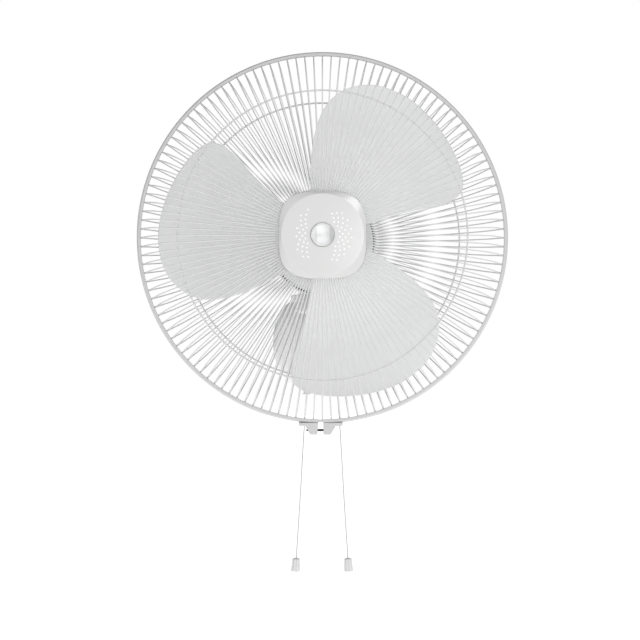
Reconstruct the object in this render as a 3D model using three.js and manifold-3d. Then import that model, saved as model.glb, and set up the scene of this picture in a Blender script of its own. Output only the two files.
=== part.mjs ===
// Wall mounted fan, 400 mm blades, as an assembly of separate pieces.
//
// Millimetres, +Z up.  Origin: centre of the wall plate's back face.
// +Y points into the wall, -Y into the room, +X to the right as seen from the room.
import * as THREE from 'three';
import Module from 'manifold-3d';

const wasm = await Module();
wasm.setup();

// ---------------------------------------------------------------- driving dimensions
const AXIS_Z = 131;            // fan axis above the middle of the wall plate
const GAP = 0.35;              // gap between faces that touch on the real object

const BLADE_TIP_R = 200;       // 400 mm sweep
const BLADE_MID_Y = -252;      // middle of the blades along the fan axis
const BLADE_T = 2.2;           // blade thickness

const RIM_FRONT_Y = -260;      // front edge of the hoop round the guard
const RIM_BACK_Y = -244;
const RIM_OUT_R = 224.5;
const RIM_LIP_R = 219.5;
const WIRES = 32;              // wires drawn in this model (the real guard has 128 a side)
const WIRE_W = 2.4;            // width of a wire in this model
const WIRE_T = 1.8;
const RING_R = 171;            // support ring on each half of the guard

const FACE_Y = -310;           // front face of the hub cover
const HUB_COVER_HALF = 51.1;   // half the width of the squircle cover at its foot
const HUB_FACE_R = 48.4;       // its round face
const BADGE_R = 14.2;

const SWING_Y = -112;          // vertical swing axis
const TILT_Y = -108;           // horizontal tilt axis
const TILT_Z = 22;

const BASE_A = 67.5;           // half width of the base
const BASE_B = 70;             // half height of the base
const BASE_FRONT_Y = -62;      // flat front of the base
const PLATE_T = 2.5;

const CORD_R = 0.75;           // pull cord radius
const CORD_TOP = [20.235, -40, -49.6];   // right-hand cord, upper end inside the base
const CORD_END = [35.5, -40, -295.7];    // right-hand cord, where it enters its knob
const PULL_KNOB_L = 19;

const LEVER_R = 17;            // lever pin to swing axis
const CRANK_R = 12.6;          // crank pin to crank shaft
const CRANK_X = 5.6;           // crank shaft position
const CRANK_Y = SWING_Y - 19;
const LINK_L = 19;

// ---------------------------------------------------------------- geometry helpers
// Merge equal corners, drop empty triangles and turn the faces outwards.
function clean(source) {
  const g = source.index ? source.toNonIndexed() : source;
  const p = g.attributes.position;
  const ids = new Map();
  const verts = [];
  const index = [];
  const id = (i) => {
    const k = `${Math.round(p.getX(i) * 1e4)},${Math.round(p.getY(i) * 1e4)},${Math.round(p.getZ(i) * 1e4)}`;
    if (!ids.has(k)) {
      ids.set(k, verts.length / 3);
      verts.push(p.getX(i), p.getY(i), p.getZ(i));
    }
    return ids.get(k);
  };
  for (let i = 0; i < p.count; i += 3) {
    const a = id(i), b = id(i + 1), c = id(i + 2);
    if (a !== b && b !== c && c !== a) index.push(a, b, c);
  }
  let vol = 0;
  const v = (i) => new THREE.Vector3(verts[3 * i], verts[3 * i + 1], verts[3 * i + 2]);
  for (let i = 0; i < index.length; i += 3) vol += v(index[i]).dot(v(index[i + 1]).cross(v(index[i + 2])));
  if (vol < 0) for (let i = 0; i < index.length; i += 3) [index[i + 1], index[i + 2]] = [index[i + 2], index[i + 1]];
  const out = new THREE.BufferGeometry();
  out.setAttribute('position', new THREE.Float32BufferAttribute(verts, 3));
  out.setIndex(index);
  return out;
}

const toSolid = (g) => {
  const c = clean(g);
  return new wasm.Manifold(new wasm.Mesh({
    numProp: 3,
    vertProperties: new Float32Array(c.attributes.position.array),
    triVerts: new Uint32Array(c.index.array),
  }));
};
const fromSolid = (s) => {
  const m = s.getMesh();
  const g = new THREE.BufferGeometry();
  g.setAttribute('position', new THREE.Float32BufferAttribute(m.vertProperties, 3));
  g.setIndex(Array.from(m.triVerts));
  return clean(g);
};
// join(a, b, ...) and cut(a, b, ...): geometries in, one geometry out
const join = (first, ...rest) => fromSolid(rest.reduce((s, g) => s.add(toSolid(g)), toSolid(first)));
const cut = (first, ...rest) => fromSolid(rest.reduce((s, g) => s.subtract(toSolid(g)), toSolid(first)));

const box = (x0, x1, y0, y1, z0, z1) => clean(new THREE.BoxGeometry(x1 - x0, y1 - y0, z1 - z0)
  .translate((x0 + x1) / 2, (y0 + y1) / 2, (z0 + z1) / 2));

// Turned piece: [radius, height] profile about an axis through the origin.
function rev(profile, segs = 24, axis = 'y') {
  const closed = profile[0][0] > 0;
  const pts = profile.map(([r, h]) => new THREE.Vector2(r, h));
  if (closed) pts.push(pts[0].clone());
  const g = new THREE.LatheGeometry(pts, segs);
  if (axis === 'z') g.rotateX(Math.PI / 2);
  if (axis === 'x') g.rotateZ(-Math.PI / 2);
  return clean(g);
}
const rod = (r, h0, h1, segs = 16, axis = 'y') => rev([[0, h0], [r, h0], [r, h1], [0, h1]], segs, axis);
const ring = (ri, ro, h0, h1, segs = 24, axis = 'y') => rev([[ri, h0], [ro, h0], [ro, h1], [ri, h1]], segs, axis);
const at = (g, x, y, z) => clean(g.translate(x, y, z));

// Straight extrusion of a flat outline: plane 'xy' runs along z, 'yz' along x, 'xz' along y.
function prism(outline, holes, h0, h1, plane) {
  const shape = new THREE.Shape(outline.map(([a, b]) => new THREE.Vector2(a, b)));
  for (const h of holes) shape.holes.push(new THREE.Path(h.map(([a, b]) => new THREE.Vector2(a, b))));
  const g = new THREE.ExtrudeGeometry(shape, { depth: h1 - h0, bevelEnabled: false, steps: 1 });
  const p = g.attributes.position;
  for (let i = 0; i < p.count; i++) {
    const a = p.getX(i), b = p.getY(i), c = p.getZ(i) + h0;
    if (plane === 'xy') p.setXYZ(i, a, b, c);
    if (plane === 'yz') p.setXYZ(i, c, a, b);
    if (plane === 'xz') p.setXYZ(i, a, c, b);
  }
  return clean(g);
}
const circle = (cx, cy, r, n = 16, a0 = 0, a1 = 360) => {
  const full = a1 - a0 >= 360;
  const pts = [];
  for (let i = 0; i < (full ? n : n + 1); i++) {
    const t = THREE.MathUtils.degToRad(a0 + (a1 - a0) * i / n);
    pts.push([cx + r * Math.cos(t), cy + r * Math.sin(t)]);
  }
  return pts;
};

// Closed body through a stack of rings, each ring an array of [x, y, z].
function loft(rings) {
  const n = rings[0].length;
  const verts = rings.flat(2);
  const index = [];
  for (let k = 0; k + 1 < rings.length; k++) {
    for (let i = 0; i < n; i++) {
      const a = k * n + i, b = k * n + (i + 1) % n, c = a + n, d = b + n;
      index.push(a, b, d, a, d, c);
    }
  }
  const cap = (k, flip) => {
    const c = [0, 0, 0];
    for (const p of rings[k]) for (let j = 0; j < 3; j++) c[j] += p[j] / n;
    const ci = verts.length / 3;
    verts.push(...c);
    for (let i = 0; i < n; i++) {
      const a = k * n + i, b = k * n + (i + 1) % n;
      if (flip) index.push(a, ci, b); else index.push(a, b, ci);
    }
  };
  cap(0, true);
  cap(rings.length - 1, false);
  const g = new THREE.BufferGeometry();
  g.setAttribute('position', new THREE.Float32BufferAttribute(verts, 3));
  g.setIndex(index);
  return clean(g);
}
// Superellipse ring in an xz plane at height y.
const superRing = (a, b, y, n = 2.3, segs = 24, cx = 0, cz = 0) => {
  const pts = [];
  for (let i = 0; i < segs; i++) {
    const t = 2 * Math.PI * i / segs, c = Math.cos(t), s = Math.sin(t);
    const k = (Math.abs(c) ** n + Math.abs(s) ** n) ** (-1 / n);
    pts.push([cx + a * k * c, y, cz + b * k * s]);
  }
  return pts;
};

// Guard half: radial wires, rings and centre plate as one connected body.
// rows: [r, y] stations from the centre out; solid[k] says whether row k is filled all round.
function guard(rows, solid) {
  const cols = WIRES * 2;
  const normals = rows.map((_, k) => {
    const a = rows[Math.max(0, k - 1)], b = rows[Math.min(rows.length - 1, k + 1)];
    const dr = b[0] - a[0], dy = b[1] - a[1], l = Math.hypot(dr, dy);
    return [-dy / l, dr / l];
  });
  const verts = [], index = [];
  // column edges: wire w spans from its centre angle -h to +h, h fixed by the wire width at each radius
  const vid = (k, j, side) => ((k * cols + (j % cols)) * 2 + side);
  for (let k = 0; k < rows.length; k++) {
    for (let j = 0; j < cols; j++) {
      const w = Math.floor(j / 2), sgn = j % 2 ? 1 : -1;
      const half = Math.min(WIRE_W / 2 / rows[k][0], Math.PI / WIRES * 0.62);
      const t = 2 * Math.PI * w / WIRES + sgn * half;
      for (const side of [0, 1]) {
        const s = side ? WIRE_T / 2 : -WIRE_T / 2;
        const r = rows[k][0] + normals[k][0] * s, y = rows[k][1] + normals[k][1] * s;
        verts.push(r * Math.cos(t), y, r * Math.sin(t));
      }
    }
  }
  const filled = (k, j) => k >= 0 && k + 1 < rows.length && (j % 2 === 0 || solid[k]);
  const quad = (a, b, c, d) => index.push(a, b, c, a, c, d);
  for (let k = 0; k + 1 < rows.length; k++) {
    for (let j = 0; j < cols; j++) {
      if (!filled(k, j)) continue;
      quad(vid(k, j, 1), vid(k, j + 1, 1), vid(k + 1, j + 1, 1), vid(k + 1, j, 1));
      quad(vid(k, j, 0), vid(k + 1, j, 0), vid(k + 1, j + 1, 0), vid(k, j + 1, 0));
      if (!filled(k, j + 1)) quad(vid(k, j + 1, 0), vid(k + 1, j + 1, 0), vid(k + 1, j + 1, 1), vid(k, j + 1, 1));
      if (!filled(k, j + cols - 1)) quad(vid(k, j, 0), vid(k, j, 1), vid(k + 1, j, 1), vid(k + 1, j, 0));
      if (!filled(k - 1, j)) quad(vid(k, j, 0), vid(k, j + 1, 0), vid(k, j + 1, 1), vid(k, j, 1));
      if (!filled(k + 1, j)) quad(vid(k + 1, j, 0), vid(k + 1, j, 1), vid(k + 1, j + 1, 1), vid(k + 1, j + 1, 0));
    }
  }
  const g = new THREE.BufferGeometry();
  g.setAttribute('position', new THREE.Float32BufferAttribute(verts, 3));
  g.setIndex(index);
  return clean(g);
}

// ---------------------------------------------------------------- finishes
const mat = (color, roughness, metalness = 0) => new THREE.MeshStandardMaterial({ color, roughness, metalness });
const WHITE_GLOSS = [0xf1f1ef, 0.28];
const WHITE_SATIN = [0xe9e9e7, 0.5];
const WIRE_COAT = [0xe4e4e2, 0.35];
const BLADE_GREY = [0xdcdddd, 0.25];
const SILVER = [0xc9cbcc, 0.25, 0.8];
const STEEL = [0x9a9c9e, 0.35, 1.0];
const ZINC = [0xb9bbbd, 0.45, 1.0];
const BLACK = [0x1f2022, 0.5];
const GREY = [0x8d8f92, 0.6];
const COPPER = [0xb56a3a, 0.4, 0.9];
const BRASS = [0xb8975a, 0.4, 0.9];
const BOARD = [0x2c6a45, 0.6];
const CORD = [0xdedfdd, 0.8];

const fan = new THREE.Group();
const add = (parent, name, geometry, look) => {
  const m = new THREE.Mesh(geometry, mat(...look));
  m.name = name;
  parent.add(m);
  return m;
};

// ================================================================ wall base
const base = new THREE.Group();
fan.add(base);

const keyhole = (cx) => [
  ...circle(cx, 16, 5, 10, 120, 420),
  ...circle(cx, 28, 2.5, 4, 0, 180),
];
{
  const outline = superRing(56, 58, 0, 2.3, 24).map(([x, , z]) => [x, z]);
  const plate = prism(outline, [keyhole(-32), keyhole(32), circle(0, -44, 2.6, 12)], -PLATE_T, 0, 'xz');
  const tab = (z0, s) => join(
    box(-9, 9, -12, -PLATE_T + 0.5, Math.min(z0, z0 + 2.5 * s), Math.max(z0, z0 + 2.5 * s)),
    box(-9, 9, -12, -9.9, Math.min(z0, z0 + 7 * s), Math.max(z0, z0 + 7 * s)),
  );
  add(base, 'wall_plate', join(plate, tab(44, 1), tab(-36, 1)), ZINC);
}
{
  const outer = loft([
    superRing(64, 66.5, -0.5), superRing(BASE_A, BASE_B, -16), superRing(BASE_A, BASE_B, -28),
  ]);
  const cavity = loft([superRing(61, 63.5, -9.5), superRing(65, 67.5, -18), superRing(65, 67.5, -30)]);
  const recess = loft([superRing(58.5, 60.5, 1), superRing(58.5, 60.5, -7)]);
  const windows = [box(-10, 10, -11, -6, 43, 53), box(-10, 10, -11, -6, -37, -27)];
  const glandHole = at(rod(5.2, -76, -56, 12, 'z'), 22, -17, 0);
  const posts = [[-38, 38], [38, 38], [0, -50]].map(([x, z]) => at(ring(1.9, 4.2, -27.5, -8.5, 8), x, 0, z));
  const screwWay = [[-38, 38], [38, 38], [0, -50]].map(([x, z]) => at(rod(1.9, -29, -6, 8), x, 0, z));
  add(base, 'base_rear_shell', cut(join(cut(outer, cavity, recess, ...windows, glandHole), ...posts), ...screwWay), WHITE_SATIN);
}
{
  const outer = loft([
    superRing(BASE_A, BASE_B, -28.4), superRing(67, 69.5, -41), superRing(62.5, 65, -52),
    superRing(54.5, 57, -59), superRing(44, 46, BASE_FRONT_Y),
  ]);
  const cavity = loft([
    superRing(65, 67.5, -27), superRing(64.4, 66.9, -40.5), superRing(59.5, 62, -51),
    superRing(48, 50, -59),
  ]);
  const posts = [[-38, 38], [38, 38], [0, -50]].map(([x, z]) => at(rod(4.2, -57.5, -28.6, 8), x, 0, z));
  const pilots = [[-38, 38], [38, 38], [0, -50]].map(([x, z]) => at(rod(1.6, -45, -27, 8), x, 0, z));
  const cords = [-1, 1].map((s) => at(rod(4.4, -76, -56, 12, 'z'), s * 21.5, -40, 0));
  const arms = [[0, 26], [0, 2]].map(([x, z]) => at(rod(2.4, -66, -54, 12), x, 0, z));
  const window = at(rod(7.9, -66, -54, 16), 0, 0, -25);
  add(base, 'base_front_cover', cut(join(cut(outer, cavity), ...posts), ...pilots, ...cords, ...arms, window), WHITE_GLOSS);
}
[[-38, 38], [38, 38], [0, -50]].forEach(([x, z], i) => {
  const screw = join(rod(1.25, -42, -7.5, 8), rev([[0, -6.3], [3.2, -6.3], [3.2, -7.7], [0, -7.7]], 12));
  // head sits on the tray's back, under the plate recess
  add(base, `base_cover_screw_${i + 1}`, at(cut(screw, box(-2.2, 2.2, -6.9, -6.2, -0.35, 0.35)), x, 0.95, z), STEEL);
});
add(base, 'control_board', join(
  box(-40, 40, -16, -14.4, -8, 32),
  box(-34, -18, -30, -15, 4, 18), box(-12, 4, -24, -15, 0, 10), box(12, 32, -22, -15, 16, 28), box(16, 30, -26, -15, -4, 8),
), BOARD);
{
  const sw = (s) => join(
    box(s * 21.5 - 10.5, s * 21.5 + 10.5, -51, -29, -47, -27),
    at(rod(6, -51, -29, 16), s * 21.5, 0, -46.8),
    box(s * 21.5 - 7, s * 21.5 + 7, -44, -36, -27.5, -21),
  );
  const slot = (s) => box(s * 21.5 - 4.4, s * 21.5 + 4.4, -42.5, -37.5, -56, -42.2);
  add(base, 'speed_switch', cut(sw(-1), slot(-1)), BLACK);
  add(base, 'swing_switch', cut(sw(1), slot(1)), BLACK);
}
add(base, 'motor_capacitor', join(box(-24, 12, -34, -18.5, 40, 54), box(-20, -16, -36, -33, 45, 49), box(4, 8, -36, -33, 45, 49)), GREY);
add(base, 'terminal_block', cut(
  box(28, 56, -30, -18, -24, -12),
  box(30.5, 36, -28, -21, -30, -9), box(39.3, 44.8, -28, -21, -30, -9), box(48, 53.5, -28, -21, -30, -9),
), WHITE_SATIN);
add(base, 'receiver_window', at(rev([[0, -62.6], [5.5, -62.6], [7, -61.6], [7, -58.2], [9.5, -58.2], [9.5, -57.2], [0, -57.2]], 20), 0, 0, -25), BLACK);
{
  const grommet = (s) => at(rev([[2, -60], [4.05, -60], [4.05, -69.4], [6.2, -69.4], [6.2, -71], [4.6, -73.6], [3.2, -73.6], [2, -72]], 12, 'z'), s * 21.5, -40, 0);
  add(base, 'cord_grommet_left', grommet(-1), WHITE_SATIN);
  add(base, 'cord_grommet_right', grommet(1), WHITE_SATIN);
}
add(base, 'power_gland', at(rev([[3.2, -56], [4.7, -56], [4.7, -69.9], [7, -69.9], [7, -72.5], [5, -76], [3.2, -76]], 12, 'z'), 22, -17, 0), BLACK);

// arm with two ears, on the flat front of the base
const FLANGE_Y = BASE_FRONT_Y - GAP;
{
  const flange = prism([[-17, -10], [17, -10], [22, -5], [22, 28], [17, 33], [-17, 33], [-22, 28], [-22, -5]], [], FLANGE_Y - 5, FLANGE_Y, 'xz');
  const ear = (x0, x1) => prism([
    ...circle(TILT_Y, TILT_Z, 12, 8, 90, 270), [-84, 2], [FLANGE_Y - 2, -6], [FLANGE_Y - 2, 25],
  ], [], x0, x1, 'yz');
  const boltWay = at(rod(4.4, -40, 40, 12, 'x'), 0, TILT_Y, TILT_Z);
  const screwWays = [26, 2].map((z) => at(rod(2.4, -80, -50, 12), 0, 0, z));
  add(base, 'arm_bracket', cut(join(flange, ear(-18, -12), ear(12, 18)), boltWay, ...screwWays), WHITE_GLOSS);
}
[['arm_screw_upper', 26], ['arm_screw_lower', 2]].forEach(([name, z]) => {
  const y = FLANGE_Y - 5 - GAP;
  add(base, name, at(cut(
    rev([[0, y - 2.4], [2.6, y - 2.4], [4, y - 1], [4, y], [2, y], [2, -50], [0, -50]], 12),
    box(-3, 3, y - 3, y - 1.6, -0.4, 0.4),
  ), 0, 0, z), STEEL);
});
add(base, 'tilt_bolt', at(join(
  rod(4, -22, 26, 16, 'x'), rev([[0, -23], [7, -23], [7, -18.4], [0, -18.4]], 6, 'x'),
), 0, TILT_Y, TILT_Z), STEEL);
{
  const lobes = (x, r) => Array.from({ length: 24 }, (_, i) => {
    const t = 2 * Math.PI * i / 24, k = r * (i % 3 === 0 ? 0.86 : 1);
    return [x, k * Math.cos(t), k * Math.sin(t)];
  });
  const knob = loft([lobes(18.4, 12), lobes(31, 12), lobes(33, 10)]);
  add(base, 'tilt_knob', at(cut(knob, rod(4.4, 17, 26.5, 16, 'x')), 0, TILT_Y, TILT_Z), WHITE_SATIN);
}

// ================================================================ tilting neck
const neck = new THREE.Group();
fan.add(neck);
{
  const tongue = at(rod(11.5, -11.6, 11.6, 16, 'x'), 0, TILT_Y, TILT_Z);
  const column = prism([[-119, 24], [-97, 24], [-92, 41], [-128, 41]], [], -11.6, 11.6, 'yz');
  const bowl = at(rev([[0, 40], [33, 40], [37, 44], [37, 55], [34.6, 55], [34.6, 44.5], [33, 43], [0, 43]], 24, 'z'), 0, SWING_Y, 0);
  const boss = at(rod(9.6, 42, 56, 20, 'z'), 0, SWING_Y, 0);
  const bushWay = at(rod(7.85, 44, 58, 20, 'z'), 0, SWING_Y, 0);
  const boltWay = at(rod(4.4, -40, 40, 12, 'x'), 0, TILT_Y, TILT_Z);
  const lead = at(rod(4, 35, 46, 12, 'z'), -20, SWING_Y + 8, 0);
  add(neck, 'neck_bowl', cut(join(tongue, column, bowl, boss), bushWay, boltWay, lead), WHITE_GLOSS);
}
add(neck, 'swing_bush', at(ring(5.35, 7.5, 44.4, 56.3, 20, 'z'), 0, SWING_Y, 0), BRASS);
{
  const body = at(rod(11.5, 44.9, 54.8, 18, 'z'), 3.5, CRANK_Y - 2.7, 0);
  const shaft = at(rod(1.9, 54, 57.3, 12, 'z'), CRANK_X, CRANK_Y, 0);
  add(neck, 'swing_motor', join(body, shaft), ZINC);
}
// crank: disc on the motor's shaft with a pin for the link
{
  const pinX = CRANK_X + CRANK_R;
  const web = prism([
    ...circle(CRANK_X, CRANK_Y, 4.5, 10, 90, 270), ...circle(pinX, CRANK_Y, 4, 8, -90, 90),
  ], [], 56.6, 58.4, 'xy');
  const pin = at(rod(1.8, 58.2, 60.9, 14, 'z'), pinX, CRANK_Y, 0);
  // blind bore over the end of the motor's shaft
  const bore = at(rod(2.25, 56, 57.6, 12, 'z'), CRANK_X, CRANK_Y, 0);
  add(neck, 'crank_arm', cut(join(web, pin), bore), BRASS);
}
// link: eye on the crank pin, wide eye round the head's lever pin
{
  const pinX = CRANK_X + CRANK_R;
  const bar = prism([
    ...circle(pinX, CRANK_Y, 4.2, 10, 180, 360), ...circle(pinX, CRANK_Y + LINK_L, 5.8, 10, 0, 180),
  ], [circle(pinX, CRANK_Y, 2.2, 14), circle(pinX, CRANK_Y + LINK_L, 3.5, 16)], 58.8, 60.4, 'xy');
  add(neck, 'swing_link', bar, STEEL);
}

// ================================================================ swinging head
const head = new THREE.Group();
fan.add(head);
add(head, 'swing_post', at(rev([[0, 46], [5, 46], [5, 56.7], [6.2, 56.7], [6.2, 60.9], [8.5, 60.9], [8.5, 61.65], [0, 61.65]], 20, 'z'), 0, SWING_Y, 0), STEEL);
{
  const plate = at(rev([[0, 62], [38.6, 62], [38.6, 54.5], [41, 54.5], [41, 63], [39, 64.6], [0, 64.6]], 24, 'z'), 0, SWING_Y, 0);
  const block = box(-26, 26, -140, -88, 64, 78);
  const lever = at(rod(1.8, 58.9, 62.5, 14, 'z'), LEVER_R, SWING_Y, 0);
  const bed = at(rod(61.9, -150, -80, 36), 0, 0, AXIS_Z);
  const lead = at(rod(5, 60, 80, 12, 'z'), -14, SWING_Y + 10, 0);
  add(head, 'head_saddle', cut(join(plate, block, lever), bed, lead), WHITE_GLOSS);
}

const axis = new THREE.Group();        // everything below is drawn about the fan axis
axis.position.set(0, 0, AXIS_Z);
head.add(axis);

{
  const shell = rev([
    [0, -71], [36, -72.5], [50, -80], [61, -100], [61, -153.9], [58.6, -153.9],
    [58.6, -100.6], [48.4, -81.9], [35.4, -74.9], [0, -73.4],
  ], 28);
  const slots = [];
  for (let i = 0; i < 16; i++) {
    const t = 2 * Math.PI * (i + 0.5) / 16;
    slots.push(clean(box(19, 46, -95, -69, -1.5, 1.5).rotateY(t)));
  }
  const lead = at(rod(5, -64, -50, 12, 'z'), -14, SWING_Y + 10, 0);
  add(axis, 'motor_rear_housing', cut(shell, ...slots, lead), WHITE_GLOSS);
}
const BOLTS = [90, 210, 330].map((d) => THREE.MathUtils.degToRad(d)).map((t) => [50 * Math.cos(t), 50 * Math.sin(t)]);
{
  const plate = rev([[6.5, -172], [21.5, -172], [21.5, -157.8], [66, -157.8], [66, -154.3], [10.4, -154.3], [10.4, -168], [6.5, -168]], 22);
  const bolts = BOLTS.map(([x, z]) => at(rod(2.2, -160, -150, 8), x, 0, z));
  add(axis, 'motor_front_plate', cut(plate, ...bolts), ZINC);
}
{
  const plate = rev([[10.4, -83.6], [14, -83.6], [14, -88], [46.5, -88], [46.5, -96.2], [53.5, -96.2], [53.5, -98.8], [44.9, -98.8], [44.9, -90.6], [10.4, -90.6]], 24);
  const bolts = BOLTS.map(([x, z]) => at(rod(2.2, -100, -94, 8), x, 0, z));
  add(axis, 'motor_rear_bracket', cut(plate, ...bolts), ZINC);
}
add(axis, 'stator_core', ring(25.2, 46, -135, -106, 24), STEEL);
add(axis, 'winding_front', rev([[27.5, -135.4], [43, -135.4], [44, -141], [40, -149], [31, -149], [27.5, -141]], 16), COPPER);
add(axis, 'winding_rear', rev([[27.5, -105.6], [43, -105.6], [44, -100], [40, -94.6], [31, -94.6], [27.5, -100]], 16), COPPER);
add(axis, 'front_bearing', ring(4.4, 10, -167.6, -156, 14), BRASS);
add(axis, 'rear_bearing', ring(4.4, 10, -90.2, -84, 14), BRASS);
BOLTS.forEach(([x, z], i) => {
  const bolt = rev([[0, -157.6], [1.8, -157.6], [1.8, -95.85], [3.2, -95.85], [3.2, -93.6], [0, -93.6]], 8);
  add(axis, `motor_bolt_${i + 1}`, at(bolt, x, 0, z), STEEL);
});

// guard halves
add(axis, 'rear_grille', guard([
  [22.4, -159.3], [70, -159.3], [169.4, -204.2], [172.6, -205.8], [198, -222.5], [216.6, -250], [221.6, -251.4],
], [true, false, true, false, false, true]), WIRE_COAT);
add(axis, 'rear_grille_nut', rev([[22.1, -160.7], [33, -160.7], [33, -165.5], [30.5, -168.5], [22.1, -168.5]], 20), BLACK);
add(axis, 'front_grille', guard([
  [9, -304], [50.5, -304], [169.4, -297.5], [172.6, -297], [200, -288], [216.8, -256], [221.6, -254.6],
], [true, false, true, false, false, true]), WIRE_COAT);

// hub cover and badge
{
  const n = 3.16;
  const outer = loft([
    superRing(HUB_COVER_HALF, HUB_COVER_HALF, -305.35, n, 28), superRing(HUB_COVER_HALF, HUB_COVER_HALF, -306.4, n, 28),
    superRing(HUB_FACE_R, HUB_FACE_R, -309.2, 2, 28), superRing(38, 38, FACE_Y, 2, 28),
  ]);
  const inner = loft([
    superRing(HUB_COVER_HALF - 2, HUB_COVER_HALF - 2, -304, n, 28), superRing(46, 46, -307.2, 2, 28),
  ]);
  add(axis, 'hub_cover', cut(outer, inner, rod(BADGE_R + 0.4, -312, -308.6, 20)), WHITE_GLOSS);
}
add(axis, 'badge_disc', rev([[0, -310.1], [9, -310.5], [13.2, -311.3], [BADGE_R, -310.9], [BADGE_R, -308.95], [0, -308.95]], 20), SILVER);

// split hoop round both halves, with clamp lugs at the bottom
{
  const hoop = rev([
    [RIM_LIP_R, RIM_FRONT_Y], [RIM_OUT_R, RIM_FRONT_Y], [RIM_OUT_R, RIM_BACK_Y], [RIM_LIP_R, RIM_BACK_Y],
    [RIM_LIP_R, RIM_BACK_Y - 1.6], [RIM_OUT_R - 1.6, RIM_BACK_Y - 1.6], [RIM_OUT_R - 1.6, RIM_FRONT_Y + 1.6], [RIM_LIP_R, RIM_FRONT_Y + 1.6],
  ], 48);
  const bar = prism([[-28, -223.3], [24, -223.3], [24, -226], [21, -227.2], [-25, -227.2], [-28, -226]], [], -259.4, -244.6, 'xz');
  const lugL = prism([[-21.3, -226], [-5.3, -226], [-6.2, -238], [-14.8, -238]], [], -258, -246, 'xz');
  const lugR = prism([[1.2, -226], [17, -226], [10, -238], [1.2, -238]], [], -258, -246, 'xz');
  const gap = box(-5.2, 1.2, -262, -242, -240, -210);
  const way = at(rod(1.95, -30, 30, 12, 'x'), 0, -252, -232.9);
  const pocket = box(-12.4, -8.4, -255.6, -248.4, -240, -229.2);
  const headWay = at(rod(3.2, 8.4, 20, 12, 'x'), 0, -252, -232.9);
  add(axis, 'rim_band', cut(join(hoop, bar, lugL, lugR), gap, way, pocket, headWay), WHITE_GLOSS);
}
add(axis, 'clamp_screw', at(cut(
  rev([[0, -19.4], [1.1, -19.4], [1.5, -18.8], [1.5, 8.8], [2.6, 8.8], [2.6, 11.4], [0, 11.4]], 12, 'x'),
  box(10.6, 12, -3, 3, -0.35, 0.35),
), 0, -252, -232.9), BLACK);
add(axis, 'clamp_nut', at(cut(rod(3.3, -12, -8.8, 6, 'x'), rod(1.9, -14, -7, 12, 'x')), 0, -252, -232.9), STEEL);

// ================================================================ rotor
const rotor = new THREE.Group();
axis.add(rotor);
add(rotor, 'motor_shaft', cut(rod(4, -289, -83, 16), at(rod(1.55, -8, 8, 10, 'x'), 0, -242, 0)), STEEL);
add(rotor, 'rotor_core', ring(4.35, 24.6, -135, -106, 20), ZINC);
add(rotor, 'drive_pin', at(rod(1.2, -9.6, 9.6, 10, 'x'), 0, -242, 0), STEEL);

// blade outline: for each radius the angle of the straight and of the curved edge, counted
// anticlockwise (seen from the room) from the reference line of the straight edge
const LEAD = [[38, 4.5], [64, 3.5], [88, 3], [124, 2], [148, 1], [165, 1.5], [178, 3], [186, 6], [191, 12], [195, 23], [198.4, 34]];
const TRAIL = [[38, 92], [58, 89.5], [74, 86.5], [100, 82.5], [126, 79], [158, 73.5], [176, 68], [188, 62], [197.5, 53], [198.4, 50]];
const lookup = (table, r) => {
  if (r <= table[0][0]) return table[0][1];
  for (let i = 1; i < table.length; i++) {
    if (r <= table[i][0]) {
      const [r0, a0] = table[i - 1], [r1, a1] = table[i];
      return a0 + (a1 - a0) * (r - r0) / (r1 - r0);
    }
  }
  return table[table.length - 1][1];
};
const bladeY = (r, a) => {
  const h = 44 + 12 * (r - 44) / 156, t = a / 88;
  return h * (0.5 - t) + 6 * Math.sin(Math.PI * Math.min(1, Math.max(0, t)));
};
function blade(start) {
  const R = [41, 68, 100, 134, 162, 180, 191, 198.4];
  const K = 5;
  const top = [], bottom = [];
  R.forEach((r) => {
    const a0 = lookup(LEAD, r), a1 = lookup(TRAIL, r);
    for (let k = 0; k <= K; k++) {
      const a = a0 + (a1 - a0) * k / K, t = THREE.MathUtils.degToRad(start + a);
      const y = BLADE_MID_Y + bladeY(r, a), rr = r * BLADE_TIP_R / 200;
      top.push([rr * Math.cos(t), y - BLADE_T / 2, rr * Math.sin(t)]);
      bottom.push([rr * Math.cos(t), y + BLADE_T / 2, rr * Math.sin(t)]);
    }
  });
  const verts = [...top, ...bottom].flat(), n = top.length, index = [];
  const id = (i, k, s) => s * n + i * (K + 1) + k;
  const quad = (a, b, c, d) => index.push(a, b, c, a, c, d);
  for (let i = 0; i + 1 < R.length; i++) {
    for (let k = 0; k < K; k++) {
      quad(id(i, k, 0), id(i, k + 1, 0), id(i + 1, k + 1, 0), id(i + 1, k, 0));
      quad(id(i, k, 1), id(i + 1, k, 1), id(i + 1, k + 1, 1), id(i, k + 1, 1));
    }
    quad(id(i, 0, 0), id(i + 1, 0, 0), id(i + 1, 0, 1), id(i, 0, 1));
    quad(id(i, K, 0), id(i, K, 1), id(i + 1, K, 1), id(i + 1, K, 0));
  }
  for (let k = 0; k < K; k++) {
    const e = R.length - 1;
    quad(id(0, k, 0), id(0, k, 1), id(0, k + 1, 1), id(0, k + 1, 0));
    quad(id(e, k, 0), id(e, k + 1, 0), id(e, k + 1, 1), id(e, k, 1));
  }
  const g = new THREE.BufferGeometry();
  g.setAttribute('position', new THREE.Float32BufferAttribute(verts, 3));
  g.setIndex(index);
  return clean(g);
}
{
  const hub = rev([
    [4.4, -281], [32, -280], [44, -270], [44, -226], [41.4, -226], [41.4, -268], [31, -277],
    [11, -277.6], [11, -240], [4.4, -240],
  ], 24);
  const slot = box(-12, 12, -244, -238, -1.6, 1.6);
  add(rotor, 'blade_set', cut(join(hub, blade(15), blade(135), blade(255)), slot), BLADE_GREY);
}
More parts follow.
